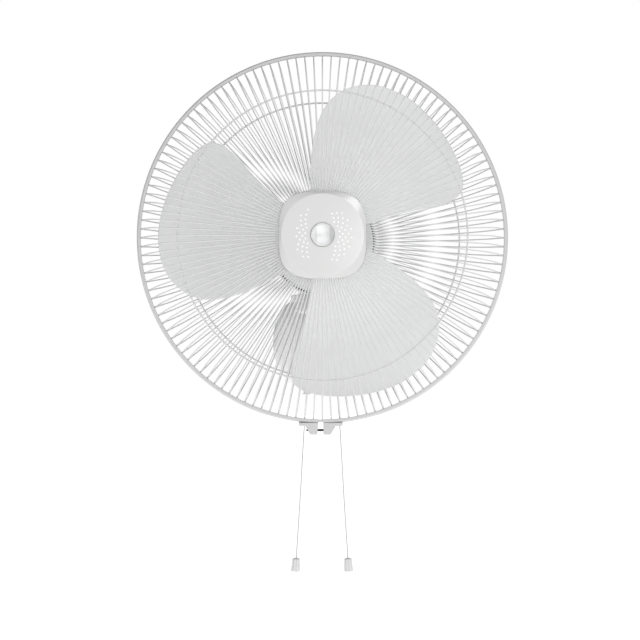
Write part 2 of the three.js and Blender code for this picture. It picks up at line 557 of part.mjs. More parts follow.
add(rotor, 'blade_nut', rev([[0, -293.5], [6, -293], [12, -289.5], [15, -284], [15.5, -281.35], [4.4, -281.35], [4.4, -290], [0, -290]], 14), WHITE_SATIN);

// ================================================================ pulls
const pulls = new THREE.Group();
fan.add(pulls);
for (const [name, s] of [['speed', -1], ['swing', 1]]) {
  const top = new THREE.Vector3(s * CORD_TOP[0], CORD_TOP[1], CORD_TOP[2]);
  const end = new THREE.Vector3(s * CORD_END[0], CORD_END[1], CORD_END[2]);
  const dir = end.clone().sub(top).normalize();
  const tilt = Math.atan2(dir.x, -dir.z);            // angle from straight down, in the xz plane
  // a small steel eye that the switch lever carries
  const eye = cut(box(-2.6, 2.6, -1.7, 1.7, 0.35, 6.8), at(rod(1.1, -4, 4, 10), 0, 0, 4.4));
  const eyeMesh = add(pulls, `${name}_pull_eye`, eye, ZINC);
  eyeMesh.position.copy(top);
  const path = [];
  for (let i = 0; i <= 20; i++) path.push(top.clone().lerp(end, i / 20));
  const section = new THREE.Shape(circle(0, 0, CORD_R, 8).map(([a, b]) => new THREE.Vector2(a, b)));
  const cord = new THREE.ExtrudeGeometry(section, {
    steps: 20, bevelEnabled: false, extrudePath: new THREE.CatmullRomCurve3(path),
  });
  add(pulls, `${name}_pull_cord`, clean(cord), CORD);
  const flutes = (h, r) => Array.from({ length: 16 }, (_, i) => {
    const t = 2 * Math.PI * i / 16, k = r * (i % 2 ? 0.9 : 1);
    return [k * Math.cos(t), k * Math.sin(t), h];
  });
  const knob = loft([flutes(-0.35, 3.6), flutes(-1.4, 5.1), flutes(-PULL_KNOB_L + 0.8, 6.2), flutes(-PULL_KNOB_L, 5.6)]);
  const knobMesh = add(pulls, `${name}_pull_knob`, knob, WHITE_SATIN);
  knobMesh.position.copy(end);
  knobMesh.rotation.y = -tilt;
}

export default fan;
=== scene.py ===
# Wall mounted fan, 400 mm blades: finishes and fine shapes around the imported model.
# Lengths in the tables below are millimetres in the row frame; meshes are made in metres.
import math
import bpy
import bmesh
from mathutils import Matrix, Vector


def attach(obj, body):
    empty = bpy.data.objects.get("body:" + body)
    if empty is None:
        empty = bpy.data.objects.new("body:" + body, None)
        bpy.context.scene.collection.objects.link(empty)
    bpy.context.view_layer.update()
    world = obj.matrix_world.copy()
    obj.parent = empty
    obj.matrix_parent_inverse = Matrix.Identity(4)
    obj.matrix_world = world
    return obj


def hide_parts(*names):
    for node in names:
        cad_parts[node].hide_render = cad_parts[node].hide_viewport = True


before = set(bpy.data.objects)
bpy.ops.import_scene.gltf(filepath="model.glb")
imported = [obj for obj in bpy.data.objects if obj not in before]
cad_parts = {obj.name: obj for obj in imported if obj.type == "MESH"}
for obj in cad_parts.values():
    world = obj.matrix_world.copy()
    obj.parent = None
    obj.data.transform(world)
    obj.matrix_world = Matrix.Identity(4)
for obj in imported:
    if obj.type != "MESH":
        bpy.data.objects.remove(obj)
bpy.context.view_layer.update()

scene = bpy.context.scene
MM = 0.001
AXIS_Z = 131.0          # fan axis above the origin
RAD = math.radians

# ------------------------------------------------------------------ camera
cam_data = bpy.data.cameras.new("camera")
cam_data.sensor_width = 36.0
cam_data.lens = 71.63
cam_data.clip_start = 0.05
cam_data.clip_end = 60.0
cam = bpy.data.objects.new("camera", cam_data)
cam.location = (-0.0029, -1.795, 0.0315)
cam.rotation_euler = (math.pi / 2, 0.0, 0.0)
scene.collection.objects.link(cam)
scene.camera = cam

# ------------------------------------------------------------------ material builder
def node(nt, kind, **sockets):
    n = nt.nodes.new(kind)
    for k, v in sockets.items():
        n.inputs[k.replace("_", " ")].default_value = v
    return n


def math_node(nt, op, a, b=None, clamp=False):
    n = nt.nodes.new("ShaderNodeMath")
    n.operation = op
    n.use_clamp = clamp
    for i, x in enumerate((a, b)):
        if x is None:
            continue
        if isinstance(x, (int, float)):
            n.inputs[i].default_value = x
        else:
            nt.links.new(x, n.inputs[i])
    return n.outputs[0]


def ramp(nt, value, low, high, out_low=0.0, out_high=1.0):
    n = nt.nodes.new("ShaderNodeMapRange")
    n.clamp = True
    n.inputs["From Min"].default_value = low
    n.inputs["From Max"].default_value = high
    n.inputs["To Min"].default_value = out_low
    n.inputs["To Max"].default_value = out_high
    nt.links.new(value, n.inputs["Value"])
    return n.outputs["Result"]


def mix_colour(nt, fac, a, b):
    n = nt.nodes.new("ShaderNodeMix")
    n.data_type = "RGBA"
    for sock, x in ((0, fac), (6, a), (7, b)):
        if isinstance(x, (int, float, tuple, list)):
            n.inputs[sock].default_value = x if isinstance(x, (int, float)) else (*x[:3], 1.0)
        else:
            nt.links.new(x, n.inputs[sock])
    return n.outputs[2]


def noise(nt, vector, scale, detail=3.0, rough=0.5, distortion=0.0):
    n = nt.nodes.new("ShaderNodeTexNoise")
    n.inputs["Scale"].default_value = scale
    n.inputs["Detail"].default_value = detail
    n.inputs["Roughness"].default_value = rough
    n.inputs["Distortion"].default_value = distortion
    nt.links.new(vector, n.inputs["Vector"])
    return n.outputs[0]


def scaled(nt, vector, sx, sy, sz):
    n = nt.nodes.new("ShaderNodeMapping")
    n.inputs["Scale"].default_value = (sx, sy, sz)
    nt.links.new(vector, n.inputs["Vector"])
    return n.outputs[0]


def surface(name, base, rough, metal=0.0, spread=0.025, mottle=22.0, grain=1800.0, grain_depth=0.00003,
            rough_spread=0.06, edge=0.0, edge_tint=None, dust=0.0, coat=0.0, coat_rough=0.08,
            aniso=0.0, spin_axis=None, spec=0.5, pattern=None, pattern_depth=0.0, flow=None, translucent=0.0, painted_reflection=None, painted_light_near_hub=None):
    """Principled surface whose colour, roughness and fine relief vary over the piece.
    mottle and grain are noise scales per metre, depths are metres."""
    m = bpy.data.materials.new(name)
    m.use_nodes = True
    nt = m.node_tree
    nt.nodes.clear()
    out = nt.nodes.new("ShaderNodeOutputMaterial")
    b = nt.nodes.new("ShaderNodeBsdfPrincipled")
    nt.links.new(b.outputs[0], out.inputs[0])
    b.inputs["Metallic"].default_value = metal
    b.inputs["Specular IOR Level"].default_value = spec
    b.inputs["Coat Weight"].default_value = coat
    b.inputs["Coat Roughness"].default_value = coat_rough
    b.inputs["Anisotropic"].default_value = aniso
    if translucent:
        b.inputs["Subsurface Weight"].default_value = translucent
        b.inputs["Subsurface Radius"].default_value = (1.0, 1.0, 1.0)
        b.inputs["Subsurface Scale"].default_value = 0.0015
    co = nt.nodes.new("ShaderNodeTexCoord").outputs["Object"]
    slow = noise(nt, co, mottle, 3.0, 0.55)
    fast = noise(nt, co, mottle * 14.0, 2.0, 0.5)
    both = math_node(nt, "ADD", math_node(nt, "MULTIPLY", slow, 0.65), math_node(nt, "MULTIPLY", fast, 0.35))
    low = tuple(max(0.0, c * (1 - spread)) for c in base)
    high = tuple(min(1.0, c * (1 + spread)) for c in base)
    colour = mix_colour(nt, ramp(nt, both, 0.3, 0.7), low, high)
    if flow:
        # stretched streaks, as drawing or moulding leaves them
        streak = noise(nt, scaled(nt, co, *flow), 1.0, 4.0, 0.6)
        colour = mix_colour(nt, ramp(nt, streak, 0.42, 0.75, 0.0, 0.35), colour, tuple(c * 0.9 for c in base))
    roughness = ramp(nt, noise(nt, co, mottle * 5.0, 4.0, 0.6), 0.3, 0.7, max(0.02, rough - rough_spread), min(1.0, rough + rough_spread))
    if painted_light_near_hub:
        # painted light: the colour turns a little paler towards the hub, against the shade that the hub and the guard
        # wires cast there
        cx, cz, r0, r1, painted_gain = painted_light_near_hub
        s = nt.nodes.new("ShaderNodeSeparateXYZ")
        nt.links.new(co, s.inputs[0])
        dx = math_node(nt, "SUBTRACT", s.outputs[0], cx)
        dz = math_node(nt, "SUBTRACT", s.outputs[2], cz)
        r = math_node(nt, "SQRT", math_node(nt, "ADD", math_node(nt, "MULTIPLY", dx, dx), math_node(nt, "MULTIPLY", dz, dz)))
        colour = mix_colour(nt, ramp(nt, r, r0, r1, 1.0, 0.0), colour, tuple(min(0.95, painted_gain * c) for c in base))
    if painted_reflection:
        # painted reflection: colour light above and below the middle and dark to the sides, as lights reflect in a
        # brushed disc
        cx, cz, dark, light = painted_reflection
        s = nt.nodes.new("ShaderNodeSeparateXYZ")
        nt.links.new(co, s.inputs[0])
        dx = math_node(nt, "SUBTRACT", s.outputs[0], cx)
        dz = math_node(nt, "SUBTRACT", s.outputs[2], cz)
        side = math_node(nt, "ABSOLUTE", math_node(nt, "SUBTRACT", dx, 0.0009))
        below = ramp(nt, math_node(nt, "ABSOLUTE", dz), 0.006, 0.0135, 1.0, 0.35)
        amount = math_node(nt, "MULTIPLY", ramp(nt, side, 0.0066, 0.0082), below)
        colour = mix_colour(nt, amount, tuple(light * c / 0.8 for c in base), tuple(dark * c / 0.8 for c in base))
    if dust:
        # a little dust settles on faces that look up
        up = nt.nodes.new("ShaderNodeSeparateXYZ")
        nt.links.new([n for n in nt.nodes if n.type == "TEX_COORD"][0].outputs["Normal"], up.inputs[0])
        lay = math_node(nt, "MULTIPLY", ramp(nt, up.outputs[2], 0.55, 1.0), ramp(nt, noise(nt, co, 260.0, 5.0, 0.65), 0.42, 0.68, 0.0, dust))
        colour = mix_colour(nt, lay, colour, (0.42, 0.41, 0.39))
        roughness = math_node(nt, "ADD", roughness, math_node(nt, "MULTIPLY", lay, 0.5), clamp=True)
    # the edge amount sets the paler rubbed wear on sharp edges and also turns on painted shade in creases
    if edge:
        point = nt.nodes.new("ShaderNodeNewGeometry").outputs["Pointiness"]
        worn = math_node(nt, "MULTIPLY", ramp(nt, point, 0.515, 0.58), ramp(nt, noise(nt, co, 420.0, 4.0, 0.6), 0.38, 0.62, 0.0, edge))
        colour = mix_colour(nt, worn, colour, edge_tint or tuple(min(1.0, c * 1.12 + 0.02) for c in base))
        # painted shade: colour darkened in creases and hollows, where shade falls
        painted_crease_shade = ramp(nt, point, 0.485, 0.43, 0.0, 0.35)
        colour = mix_colour(nt, painted_crease_shade, colour, tuple(c * 0.72 for c in base))
    nt.links.new(colour, b.inputs["Base Color"])
    nt.links.new(roughness, b.inputs["Roughness"])
    height = math_node(nt, "MULTIPLY", noise(nt, co, grain, 2.0, 0.5), grain_depth)
    height = math_node(nt, "ADD", height, math_node(nt, "MULTIPLY", noise(nt, co, grain / 9.0, 2.0, 0.5), grain_depth * 1.6))
    if pattern:
        height = math_node(nt, "ADD", height, math_node(nt, "MULTIPLY", pattern(nt, co), pattern_depth))
    bump = nt.nodes.new("ShaderNodeBump")
    bump.inputs["Strength"].default_value = 1.0
    bump.inputs["Distance"].default_value = 1.0
    nt.links.new(height, bump.inputs["Height"])
    nt.links.new(bump.outputs[0], b.inputs["Normal"])
    if spin_axis:
        t = nt.nodes.new("ShaderNodeTangent")
        t.direction_type = "RADIAL"
        t.axis = spin_axis
        nt.links.new(t.outputs[0], b.inputs["Tangent"])
    return m


def bands(direction, per_metre, kind="BANDS", bend=0.0):
    """Wave relief running along one axis of the piece."""
    def make(nt, co):
        w = nt.nodes.new("ShaderNodeTexWave")
        w.wave_type = kind
        if kind == "BANDS":
            w.bands_direction = direction
        else:
            w.rings_direction = direction
        w.inputs["Scale"].default_value = per_metre / 3.1831
        w.inputs["Distortion"].default_value = bend
        w.inputs["Detail"].default_value = 1.0
        nt.links.new(co, w.inputs["Vector"])
        return w.outputs["Fac"]
    return make


def turned_rings(cx, cz, per_metre):
    """Concentric turning marks round an axis parallel to Y."""
    def make(nt, co):
        s = nt.nodes.new("ShaderNodeSeparateXYZ")
        nt.links.new(co, s.inputs[0])
        dx = math_node(nt, "SUBTRACT", s.outputs[0], cx)
        dz = math_node(nt, "SUBTRACT", s.outputs[2], cz)
        r = math_node(nt, "SQRT", math_node(nt, "ADD", math_node(nt, "MULTIPLY", dx, dx), math_node(nt, "MULTIPLY", dz, dz)))
        return math_node(nt, "SINE", math_node(nt, "MULTIPLY", r, per_metre * 2 * math.pi))
    return make


def twist(nt, co):
    """Crossed strands of a fine braid on a cord that runs nearly straight down."""
    s = nt.nodes.new("ShaderNodeSeparateXYZ")
    nt.links.new(co, s.inputs[0])
    side = math_node(nt, "MULTIPLY", math_node(nt, "ADD", s.outputs[0], s.outputs[1]), 5200.0)
    down = math_node(nt, "MULTIPLY", s.outputs[2], 5200.0)
    a = math_node(nt, "SINE", math_node(nt, "ADD", down, side))
    b = math_node(nt, "SINE", math_node(nt, "SUBTRACT", down, side))
    return math_node(nt, "MAXIMUM", a, b)


M = {}
M["hub"] = surface("white_gloss", (0.655, 0.655, 0.653), 0.30, spread=0.004, rough_spread=0.02, coat=0.5, coat_rough=0.16, edge=0.1, dust=0.04, grain=1500, grain_depth=0.000003)
M["shell"] = surface("white_shell", (0.83, 0.83, 0.827), 0.34, spread=0.015, coat=0.18, edge=0.3, dust=0.12, grain=1700, grain_depth=0.00001, flow=(6, 6, 60))
M["satin"] = surface("white_satin", (0.72, 0.72, 0.717), 0.46, spread=0.02, edge=0.3, dust=0.10, grain=2600, grain_depth=0.000018)
M["wire"] = surface("guard_paint", (0.67, 0.672, 0.672), 0.40, spread=0.03, mottle=40, spec=0.35, grain=900, grain_depth=0.00002, dust=0.10, edge=0.1)
# painted shade: near-black colour for the shallow ring at the rear disc's edge, standing in for the shade between the
# wire ends
M["painted_groove_shade"] = surface("disc_painted_groove_shade", (0.15, 0.15, 0.152), 0.60, spread=0.1, mottle=60, spec=0.2, grain=900, grain_depth=0.00002)
M["disc"] = surface("disc_paint", (0.92, 0.922, 0.922), 0.42, spread=0.02, mottle=40, spec=0.35, grain=900, grain_depth=0.00002, dust=0.08, edge=0.1)
M["hoop"] = surface("hoop_paint", (0.575, 0.577, 0.577), 0.42, spread=0.02, mottle=30, spec=0.35, grain=1200, grain_depth=0.00001, dust=0.10, edge=0.3)
# blades: painted light, colour paler towards the hub inside 140 mm and fully so inside 75 mm
M["blade"] = surface("blade_plastic", (0.81, 0.815, 0.815), 0.40, painted_light_near_hub=(0.0, AXIS_Z * MM, 0.075, 0.140, 1.165), spread=0.010, mottle=9, spec=0.2, grain=1400, grain_depth=0.000006, dust=0.05, edge=0.2, flow=(4, 4, 4))
# painted highlight: the dots are coloured paler than the cover face, standing in for the highlights they catch
M["dot"] = surface("dot_painted_highlight_gloss", (0.93, 0.93, 0.93), 0.2, spread=0.01, coat=0.3)
# badge: painted reflection, pale and dark sectors set in its colour
M["silver"] = surface("badge_silver", (0.80, 0.805, 0.81), 0.46, metal=1.0, spread=0.01, mottle=60, grain=3000, grain_depth=0.0000004, rough_spread=0.03, aniso=0.6, spin_axis="Y", pattern=turned_rings(0.0, AXIS_Z * MM, 2600), pattern_depth=0.0000006, painted_reflection=(0.0, AXIS_Z * MM, 0.42, 0.53))
M["steel"] = surface("zinc_plated_steel", (0.60, 0.61, 0.62), 0.33, metal=1.0, spread=0.06, mottle=60, grain=2400, grain_depth=0.00001, edge=0.3, rough_spread=0.09)
M["zinc"] = surface("pressed_zinc_sheet", (0.66, 0.67, 0.68), 0.42, metal=1.0, spread=0.09, mottle=70, grain=600, grain_depth=0.00001, edge=0.3, rough_spread=0.12, flow=(8, 8, 160))
M["cast"] = surface("die_cast_aluminium", (0.66, 0.67, 0.68), 0.5, metal=1.0, spread=0.07, mottle=45, grain=900, grain_depth=0.00005, edge=0.4, rough_spread=0.1)
M["lamination"] = surface("steel_laminations", (0.36, 0.37, 0.39), 0.45, metal=1.0, spread=0.12, mottle=90, grain=1800, grain_depth=0.00001, pattern=bands("Y", 1000.0), pattern_depth=0.00008)
M["copper"] = surface("enamelled_copper", (0.60, 0.27, 0.12), 0.3, metal=0.85, spread=0.14, mottle=120, coat=0.4, grain=1500, grain_depth=0.00002, pattern=bands("DIAGONAL", 1400.0, bend=2.0), pattern_depth=0.00012)
M["brass"] = surface("sintered_bronze", (0.66, 0.50, 0.26), 0.42, metal=1.0, spread=0.1, mottle=90, grain=2600, grain_depth=0.00002, edge=0.3)
M["black"] = surface("black_plastic", (0.035, 0.035, 0.038), 0.45, spread=0.15, grain=2400, grain_depth=0.00002, edge=0.3, edge_tint=(0.11, 0.11, 0.115))
M["oxide"] = surface("black_oxide_steel", (0.03, 0.03, 0.032), 0.4, metal=0.7, spread=0.2, mottle=120, grain=2200, grain_depth=0.00001, edge=0.5, edge_tint=(0.16, 0.16, 0.165))
M["grey"] = surface("grey_case", (0.40, 0.41, 0.43), 0.5, spread=0.04, grain=2000, grain_depth=0.00003, edge=0.3)
M["board"] = surface("green_laminate", (0.05, 0.22, 0.10), 0.4, spread=0.12, mottle=160, coat=0.2, grain=2600, grain_depth=0.00002, pattern=bands("X", 900.0), pattern_depth=0.00002)
M["lens"] = surface("smoked_lens", (0.03, 0.025, 0.035), 0.12, spread=0.1, coat=0.5, grain=900, grain_depth=0.000004)
M["cord"] = surface("white_cord", (0.56, 0.56, 0.555), 0.75, spread=0.05, mottle=300, grain=5000, grain_depth=0.00003, pattern=twist, pattern_depth=0.00008)

# ------------------------------------------------------------------ shape helpers (millimetres)
class Geo:
    """Vertices and faces of closed bodies, in millimetres."""

    def __init__(self, v=(), f=()):
        self.v = [tuple(p) for p in v]
        self.f = [tuple(q) for q in f]

    def __add__(self, other):
        n = len(self.v)
        return Geo(self.v + other.v, self.f + [tuple(i + n for i in q) for q in other.f])

    def move(self, x=0.0, y=0.0, z=0.0):
        return Geo([(a + x, b + y, c + z) for a, b, c in self.v], self.f)

    def turn(self, axis, degrees, about=(0.0, 0.0, 0.0)):
        c = Vector(about)
        m = Matrix.Rotation(RAD(degrees), 3, axis)
        return Geo([tuple(m @ (Vector(p) - c) + c) for p in self.v], self.f)

    def shape(self, fn):
        return Geo([fn(*p) for p in self.v], self.f)


def fillet(points, radii, seg=4, closed=True):
    """Rounds the corners of a flat outline."""
    n = len(points)
    if isinstance(radii, (int, float)):
        radii = [radii] * n
    out = []
    for i in range(n):
        r = radii[i]
        if r <= 0 or (not closed and i in (0, n - 1)):
            out.append(tuple(points[i]))
            continue
        p, a, b = Vector(points[i]), Vector(points[i - 1]), Vector(points[(i + 1) % n])
        u, w = a - p, b - p
        lu, lw = u.length, w.length
        u.normalize(); w.normalize()
        ang = math.acos(max(-1.0, min(1.0, u.dot(w))))
        if ang > math.pi - 0.02 or ang < 0.02:
            out.append(tuple(p))
            continue
        t = min(r / math.tan(ang / 2), 0.49 * lu, 0.49 * lw)
        rr = t * math.tan(ang / 2)
        c = p + (u + w).normalized() * (rr / math.sin(ang / 2))
        s, e = p + u * t - c, p + w * t - c
        sweep = s.angle(e)
        for k in range(seg + 1):
            f = k / seg
            q = c + (s * math.sin((1 - f) * sweep) + e * math.sin(f * sweep)) / math.sin(sweep)
            out.append(tuple(q))
    return out


def lathe(profile, segs=96, axis="y", a0=0.0, a1=360.0):
    """Turned body. The profile is a closed loop of (radius, height), or starts and ends on the axis."""
    full = a1 - a0 >= 359.999
    n = segs if full else segs + 1
    place = {
        "y": lambda r, h, c, s: (r * c, h, r * s),
        "z": lambda r, h, c, s: (r * c, r * s, h),
        "x": lambda r, h, c, s: (h, r * c, r * s),
    }[axis]
    loop = profile[0][0] > 1e-6
    v, rings = [], []
    for r, h in profile:
        if r < 1e-6:
            rings.append([len(v)])
            v.append(place(0.0, h, 1.0, 0.0))
            continue
        rings.append(list(range(len(v), len(v) + n)))
        for i in range(n):
            t = RAD(a0 + (a1 - a0) * i / segs)
            v.append(place(r, h, math.cos(t), math.sin(t)))
    f = []
    m = len(profile)
    for k in range(m if loop else m - 1):
        a, b = rings[k], rings[(k + 1) % m]
        for i in range(n if full else n - 1):
            j = (i + 1) % n
            q = []
            for ring, x in ((a, i), (a, j), (b, j), (b, i)):
                y = ring[0] if len(ring) == 1 else ring[x]
                if y not in q:
                    q.append(y)
            if len(q) > 2:
                f.append(q)
    if not full:
        f.append([rings[k][0] for k in range(m)])
        f.append([rings[k][n - 1] for k in reversed(range(m))])
    return Geo(v, f)


def rod(r, h0, h1, segs=32, axis="y", edge=0.0):
    lo, hi = min(h0, h1), max(h0, h1)
    if edge:
        return lathe(fillet([(0, lo), (r, lo), (r, hi), (0, hi)], [0, edge, edge, 0], 3, closed=False), segs, axis)
    return lathe([(0, lo), (r, lo), (r, hi), (0, hi)], segs, axis)


def ring(ri, ro, h0, h1, segs=64, axis="y", edge=0.3):
    lo, hi = min(h0, h1), max(h0, h1)
    return lathe(fillet([(ri, lo), (ro, lo), (ro, hi), (ri, hi)], edge, 2), segs, axis)


def torus(radius, wire, y, segs=256, sides=12):
    return lathe([(radius + wire * math.cos(2 * math.pi * k / sides), y + wire * math.sin(2 * math.pi * k / sides)) for k in range(sides)], segs)


def loft(rings, cap_first=True, cap_last=True):
    """Closed body through rings of equal count; an end is closed by a fan."""
    n = len(rings[0])
    v = [p for r in rings for p in r]
    f = []
    for k in range(len(rings) - 1):
        for i in range(n):
            j = (i + 1) % n
            f.append((k * n + i, k * n + j, (k + 1) * n + j, (k + 1) * n + i))
    for k, wanted in ((0, cap_first), (len(rings) - 1, cap_last)):
        if wanted:
            c = tuple(sum(p[a] for p in rings[k]) / n for a in range(3))
            v.append(c)
            for i in range(n):
                f.append((k * n + i, len(v) - 1, k * n + (i + 1) % n))
    return Geo(v, f)


def oval(a, b, y, n=2.3, segs=96, cz=0.0):
    """Superellipse ring square to the Y axis."""
    pts = []
    for i in range(segs):
        t = 2 * math.pi * i / segs
        c, s = math.cos(t), math.sin(t)
        k = (abs(c) ** n + abs(s) ** n) ** (-1 / n)
        pts.append((a * k * c, y, cz + b * k * s))
    return pts


def smooth_rings(stations, steps=4):
    """Catmull-Rom between stations of (a, b, y)."""
    out = []
    m = len(stations)
    for i in range(m - 1):
        p0, p1, p2, p3 = stations[max(0, i - 1)], stations[i], stations[i + 1], stations[min(m - 1, i + 2)]
        for k in range(steps):
            t = k / steps
            out.append(tuple(0.5 * (2 * p1[j] + (p2[j] - p0[j]) * t + (2 * p0[j] - 5 * p1[j] + 4 * p2[j] - p3[j]) * t * t
                                    + (3 * p1[j] - p0[j] - 3 * p2[j] + p3[j]) * t ** 3) for j in range(len(p1))))
    out.append(tuple(stations[-1]))
    return out


def circle(cx, cy, r, n=24, a0=0.0, a1=360.0):
    full = a1 - a0 >= 360
    return [(cx + r * math.cos(RAD(a0 + (a1 - a0) * i / n)), cy + r * math.sin(RAD(a0 + (a1 - a0) * i / n))) for i in range(n if full else n + 1)]


def to_bm(geo):
    bm = bmesh.new()
    vs = [bm.verts.new(p) for p in geo.v]
    for q in geo.f:
        try:
            bm.faces.new([vs[i] for i in q])
        except ValueError:
            pass
    bmesh.ops.remove_doubles(bm, verts=bm.verts, dist=1e-4)
    bmesh.ops.recalc_face_normals(bm, faces=bm.faces)
    return bm


def from_bm(bm):
    bm.verts.index_update()
    g = Geo([tuple(v.co) for v in bm.verts], [[v.index for v in f.verts] for f in bm.faces])
    bm.free()
    return g


def bevelled(geo, width, seg=2, angle=28.0):
    bm = to_bm(geo)
    edges = [e for e in bm.edges if len(e.link_faces) == 2 and e.calc_face_angle(0.0) > RAD(angle)]
    if edges:
        bmesh.ops.bevel(bm, geom=edges, offset=width, offset_type="OFFSET", segments=seg, profile=0.5, affect="EDGES", clamp_overlap=True)
    return from_bm(bm)


def prism(outline, h0, h1, plane="xz", edge=0.0, seg=2):
    """Straight body on a flat outline: 'xz' runs along y, 'yz' along x, 'xy' along z."""
    put = {"xz": lambda a, b, h: (a, h, b), "yz": lambda a, b, h: (h, a, b), "xy": lambda a, b, h: (a, b, h)}[plane]
    n = len(outline)
    g = Geo([put(a, b, h0) for a, b in outline] + [put(a, b, h1) for a, b in outline],
            [tuple(range(n)), tuple(range(2 * n - 1, n - 1, -1))] + [(i, (i + 1) % n, n + (i + 1) % n, n + i) for i in range(n)])
    return bevelled(g, edge, seg) if edge else g


def block(x0, x1, y0, y1, z0, z1, edge=0.0, seg=2):
    return prism([(x0, z0), (x1, z0), (x1, z1), (x0, z1)], y0, y1, "xz", edge, seg)


def _temp(geo):
    bm = to_bm(geo)
    me = bpy.data.meshes.new("temp")
    bm.to_mesh(me)
    bm.free()
    ob = bpy.data.objects.new("temp", me)
    scene.collection.objects.link(ob)
    return ob


def boolean(geo, others, operation):
    a = _temp(geo)
    tools = []
    for o in others:
        b = _temp(o)
        tools.append(b)
        m = a.modifiers.new("b", "BOOLEAN")
        m.operation = operation
        m.solver = "EXACT"
        m.object = b
    dg = bpy.context.evaluated_depsgraph_get()
    me = bpy.data.meshes.new_from_object(a.evaluated_get(dg))
    g = Geo([tuple(v.co) for v in me.vertices], [tuple(p.vertices) for p in me.polygons])
    bpy.data.meshes.remove(me)
    for o in [a, *tools]:
        data = o.data
        bpy.data.objects.remove(o)
        bpy.data.meshes.remove(data)
    return g


def cut(geo, *tools):
    return boolean(geo, tools, "DIFFERENCE")


def join(geo, *others):
    return boolean(geo, others, "UNION")


def piece(name, geo, body, mats, nodes=None, sharp=32.0, pick=None):
    """Shown piece in place of CAD nodes. mats is a material key or a list of them, and pick(centre, normal) its index."""
    bm = to_bm(geo)
    bmesh.ops.dissolve_degenerate(bm, edges=bm.edges, dist=1e-4)
    open_edges = [e for e in bm.edges if e.is_boundary]
    if open_edges:
        bmesh.ops.holes_fill(bm, edges=open_edges, sides=12)
    bmesh.ops.scale(bm, vec=(MM, MM, MM), verts=bm.verts)
    me = bpy.data.meshes.new(name)
    bm.to_mesh(me)
    bm.free()
    ob = bpy.data.objects.new(name, me)
    scene.collection.objects.link(ob)
    for k in ([mats] if isinstance(mats, str) else mats):
        me.materials.append(M[k])
    for p in me.polygons:
        p.use_smooth = True
        if pick:
            p.material_index = pick(p.center / MM, p.normal)
    me.set_sharp_from_angle(angle=RAD(sharp))
    me.validate()
    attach(ob, body)
    if nodes is not None:
        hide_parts(*([nodes] if isinstance(nodes, str) else nodes))
    return ob


def on_axis(geo):
    return geo.move(z=AXIS_Z)


def thread(r, core, h0, h1, pitch, segs=24, axis="x", tip=0.4):
    """Ridged shank of a screw, turned with one ridge a pitch."""
    pts = [(0, h0), (core - tip * 0.6, h0), (core, h0 + tip)]
    h = h0 + tip
    while h + pitch < h1:
        pts += [(core, h + pitch * 0.12), (r, h + pitch * 0.42), (r, h + pitch * 0.58), (core, h + pitch * 0.9)]
        h += pitch
    pts += [(core, h1), (0, h1)]
    return lathe(pts, segs, axis)


def fluted(profile, flutes, depth, segs=144, axis="y", phase=0.0, fade=None, power=1.0):
    """Turned body whose outside is scalloped; fade(height) scales the flutes."""
    g = []
    n = len(profile)
    v, rings = [], []
    for r, h in profile:
        if r < 1e-6:
            rings.append([len(v)])
            v.append((0.0, h, 0.0) if axis == "y" else ((h, 0.0, 0.0) if axis == "x" else (0.0, 0.0, h)))
            continue
        rings.append(list(range(len(v), len(v) + segs)))
        k = fade(r, h) if fade else 1.0
        for i in range(segs):
            t = 2 * math.pi * i / segs
            rr = r - depth * k * (0.5 - 0.5 * math.cos(flutes * (t + phase))) ** power
            c, s = rr * math.cos(t), rr * math.sin(t)
            v.append((c, h, s) if axis == "y" else ((h, c, s) if axis == "x" else (c, s, h)))
    f = []
    for k in range(n - 1):
        a, b = rings[k], rings[k + 1]
        for i in range(segs):
            j = (i + 1) % segs
            q = []
            for rg, x in ((a, i), (a, j), (b, j), (b, i)):
                y = rg[0] if len(rg) == 1 else rg[x]
                if y not in q:
                    q.append(y)
            if len(q) > 2:
                f.append(q)
    return Geo(v, f)


# ------------------------------------------------------------------ pull cords and their knobs
CORD_D = 1.5
CORD_TOP = (20.235, -40.0, -49.6)
CORD_END = (35.5, -40.0, -295.7)
for word, s in (("speed", -1), ("swing", 1)):
    top = Vector((s * CORD_TOP[0], CORD_TOP[1], CORD_TOP[2]))
    end = Vector((s * CORD_END[0], CORD_END[1], CORD_END[2]))
    way = (end - top).normalized()
    lean = math.degrees(math.atan2(way.x, -way.z))
    body = fluted(fillet([(0, -0.4), (1.5, -0.4), (2.3, -0.8), (4.9, -1.5), (5.7, -2.5), (6.75, -17.7), (6.3, -19), (2.7, -19), (2.2, -16.8), (0, -16.8)],
                         [0, 0.3, 0.5, 0.7, 1.0, 0.8, 0.4, 0.4, 0.6, 0], 4, closed=False), 8, 1.45, 192, "z", phase=math.pi / 8, power=1.6,
                  fade=lambda r, h: max(0.0, min(1.0, (r - 2.9) / 2.0)) if h > -18.9 or r > 4 else 0.0)
    knob = piece(f"{word}_knob_fluted", body.turn("Y", -lean).move(*end), f"{word}_pull", "satin", f"{word}_pull_knob", sharp=42)
    pts = []
    for i in range(37):
        f = i / 36
        q = top.lerp(end, f)
        q.x += 0.25 * math.sin(2 * math.pi * f) * math.sin(math.pi * f) * s
        q.y += 0.3 * math.sin(3 * math.pi * f) * math.sin(math.pi * f)
        pts.append(q)
    curve = bpy.data.curves.new(f"{word}_cord_line", "CURVE")
    curve.dimensions = "3D"
    curve.bevel_depth = CORD_D / 2 * MM
    curve.bevel_resolution = 4
    curve.use_fill_caps = True
    spline = curve.splines.new("POLY")
    spline.points.add(len(pts) - 1)
    for p, q in zip(spline.points, pts):
        p.co = (*(q * MM), 1.0)
    cord = bpy.data.objects.new(f"{word}_cord", curve)
    scene.collection.objects.link(cord)
    curve.materials.append(M["cord"])
    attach(cord, f"{word}_pull")
    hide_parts(f"{word}_pull_cord")

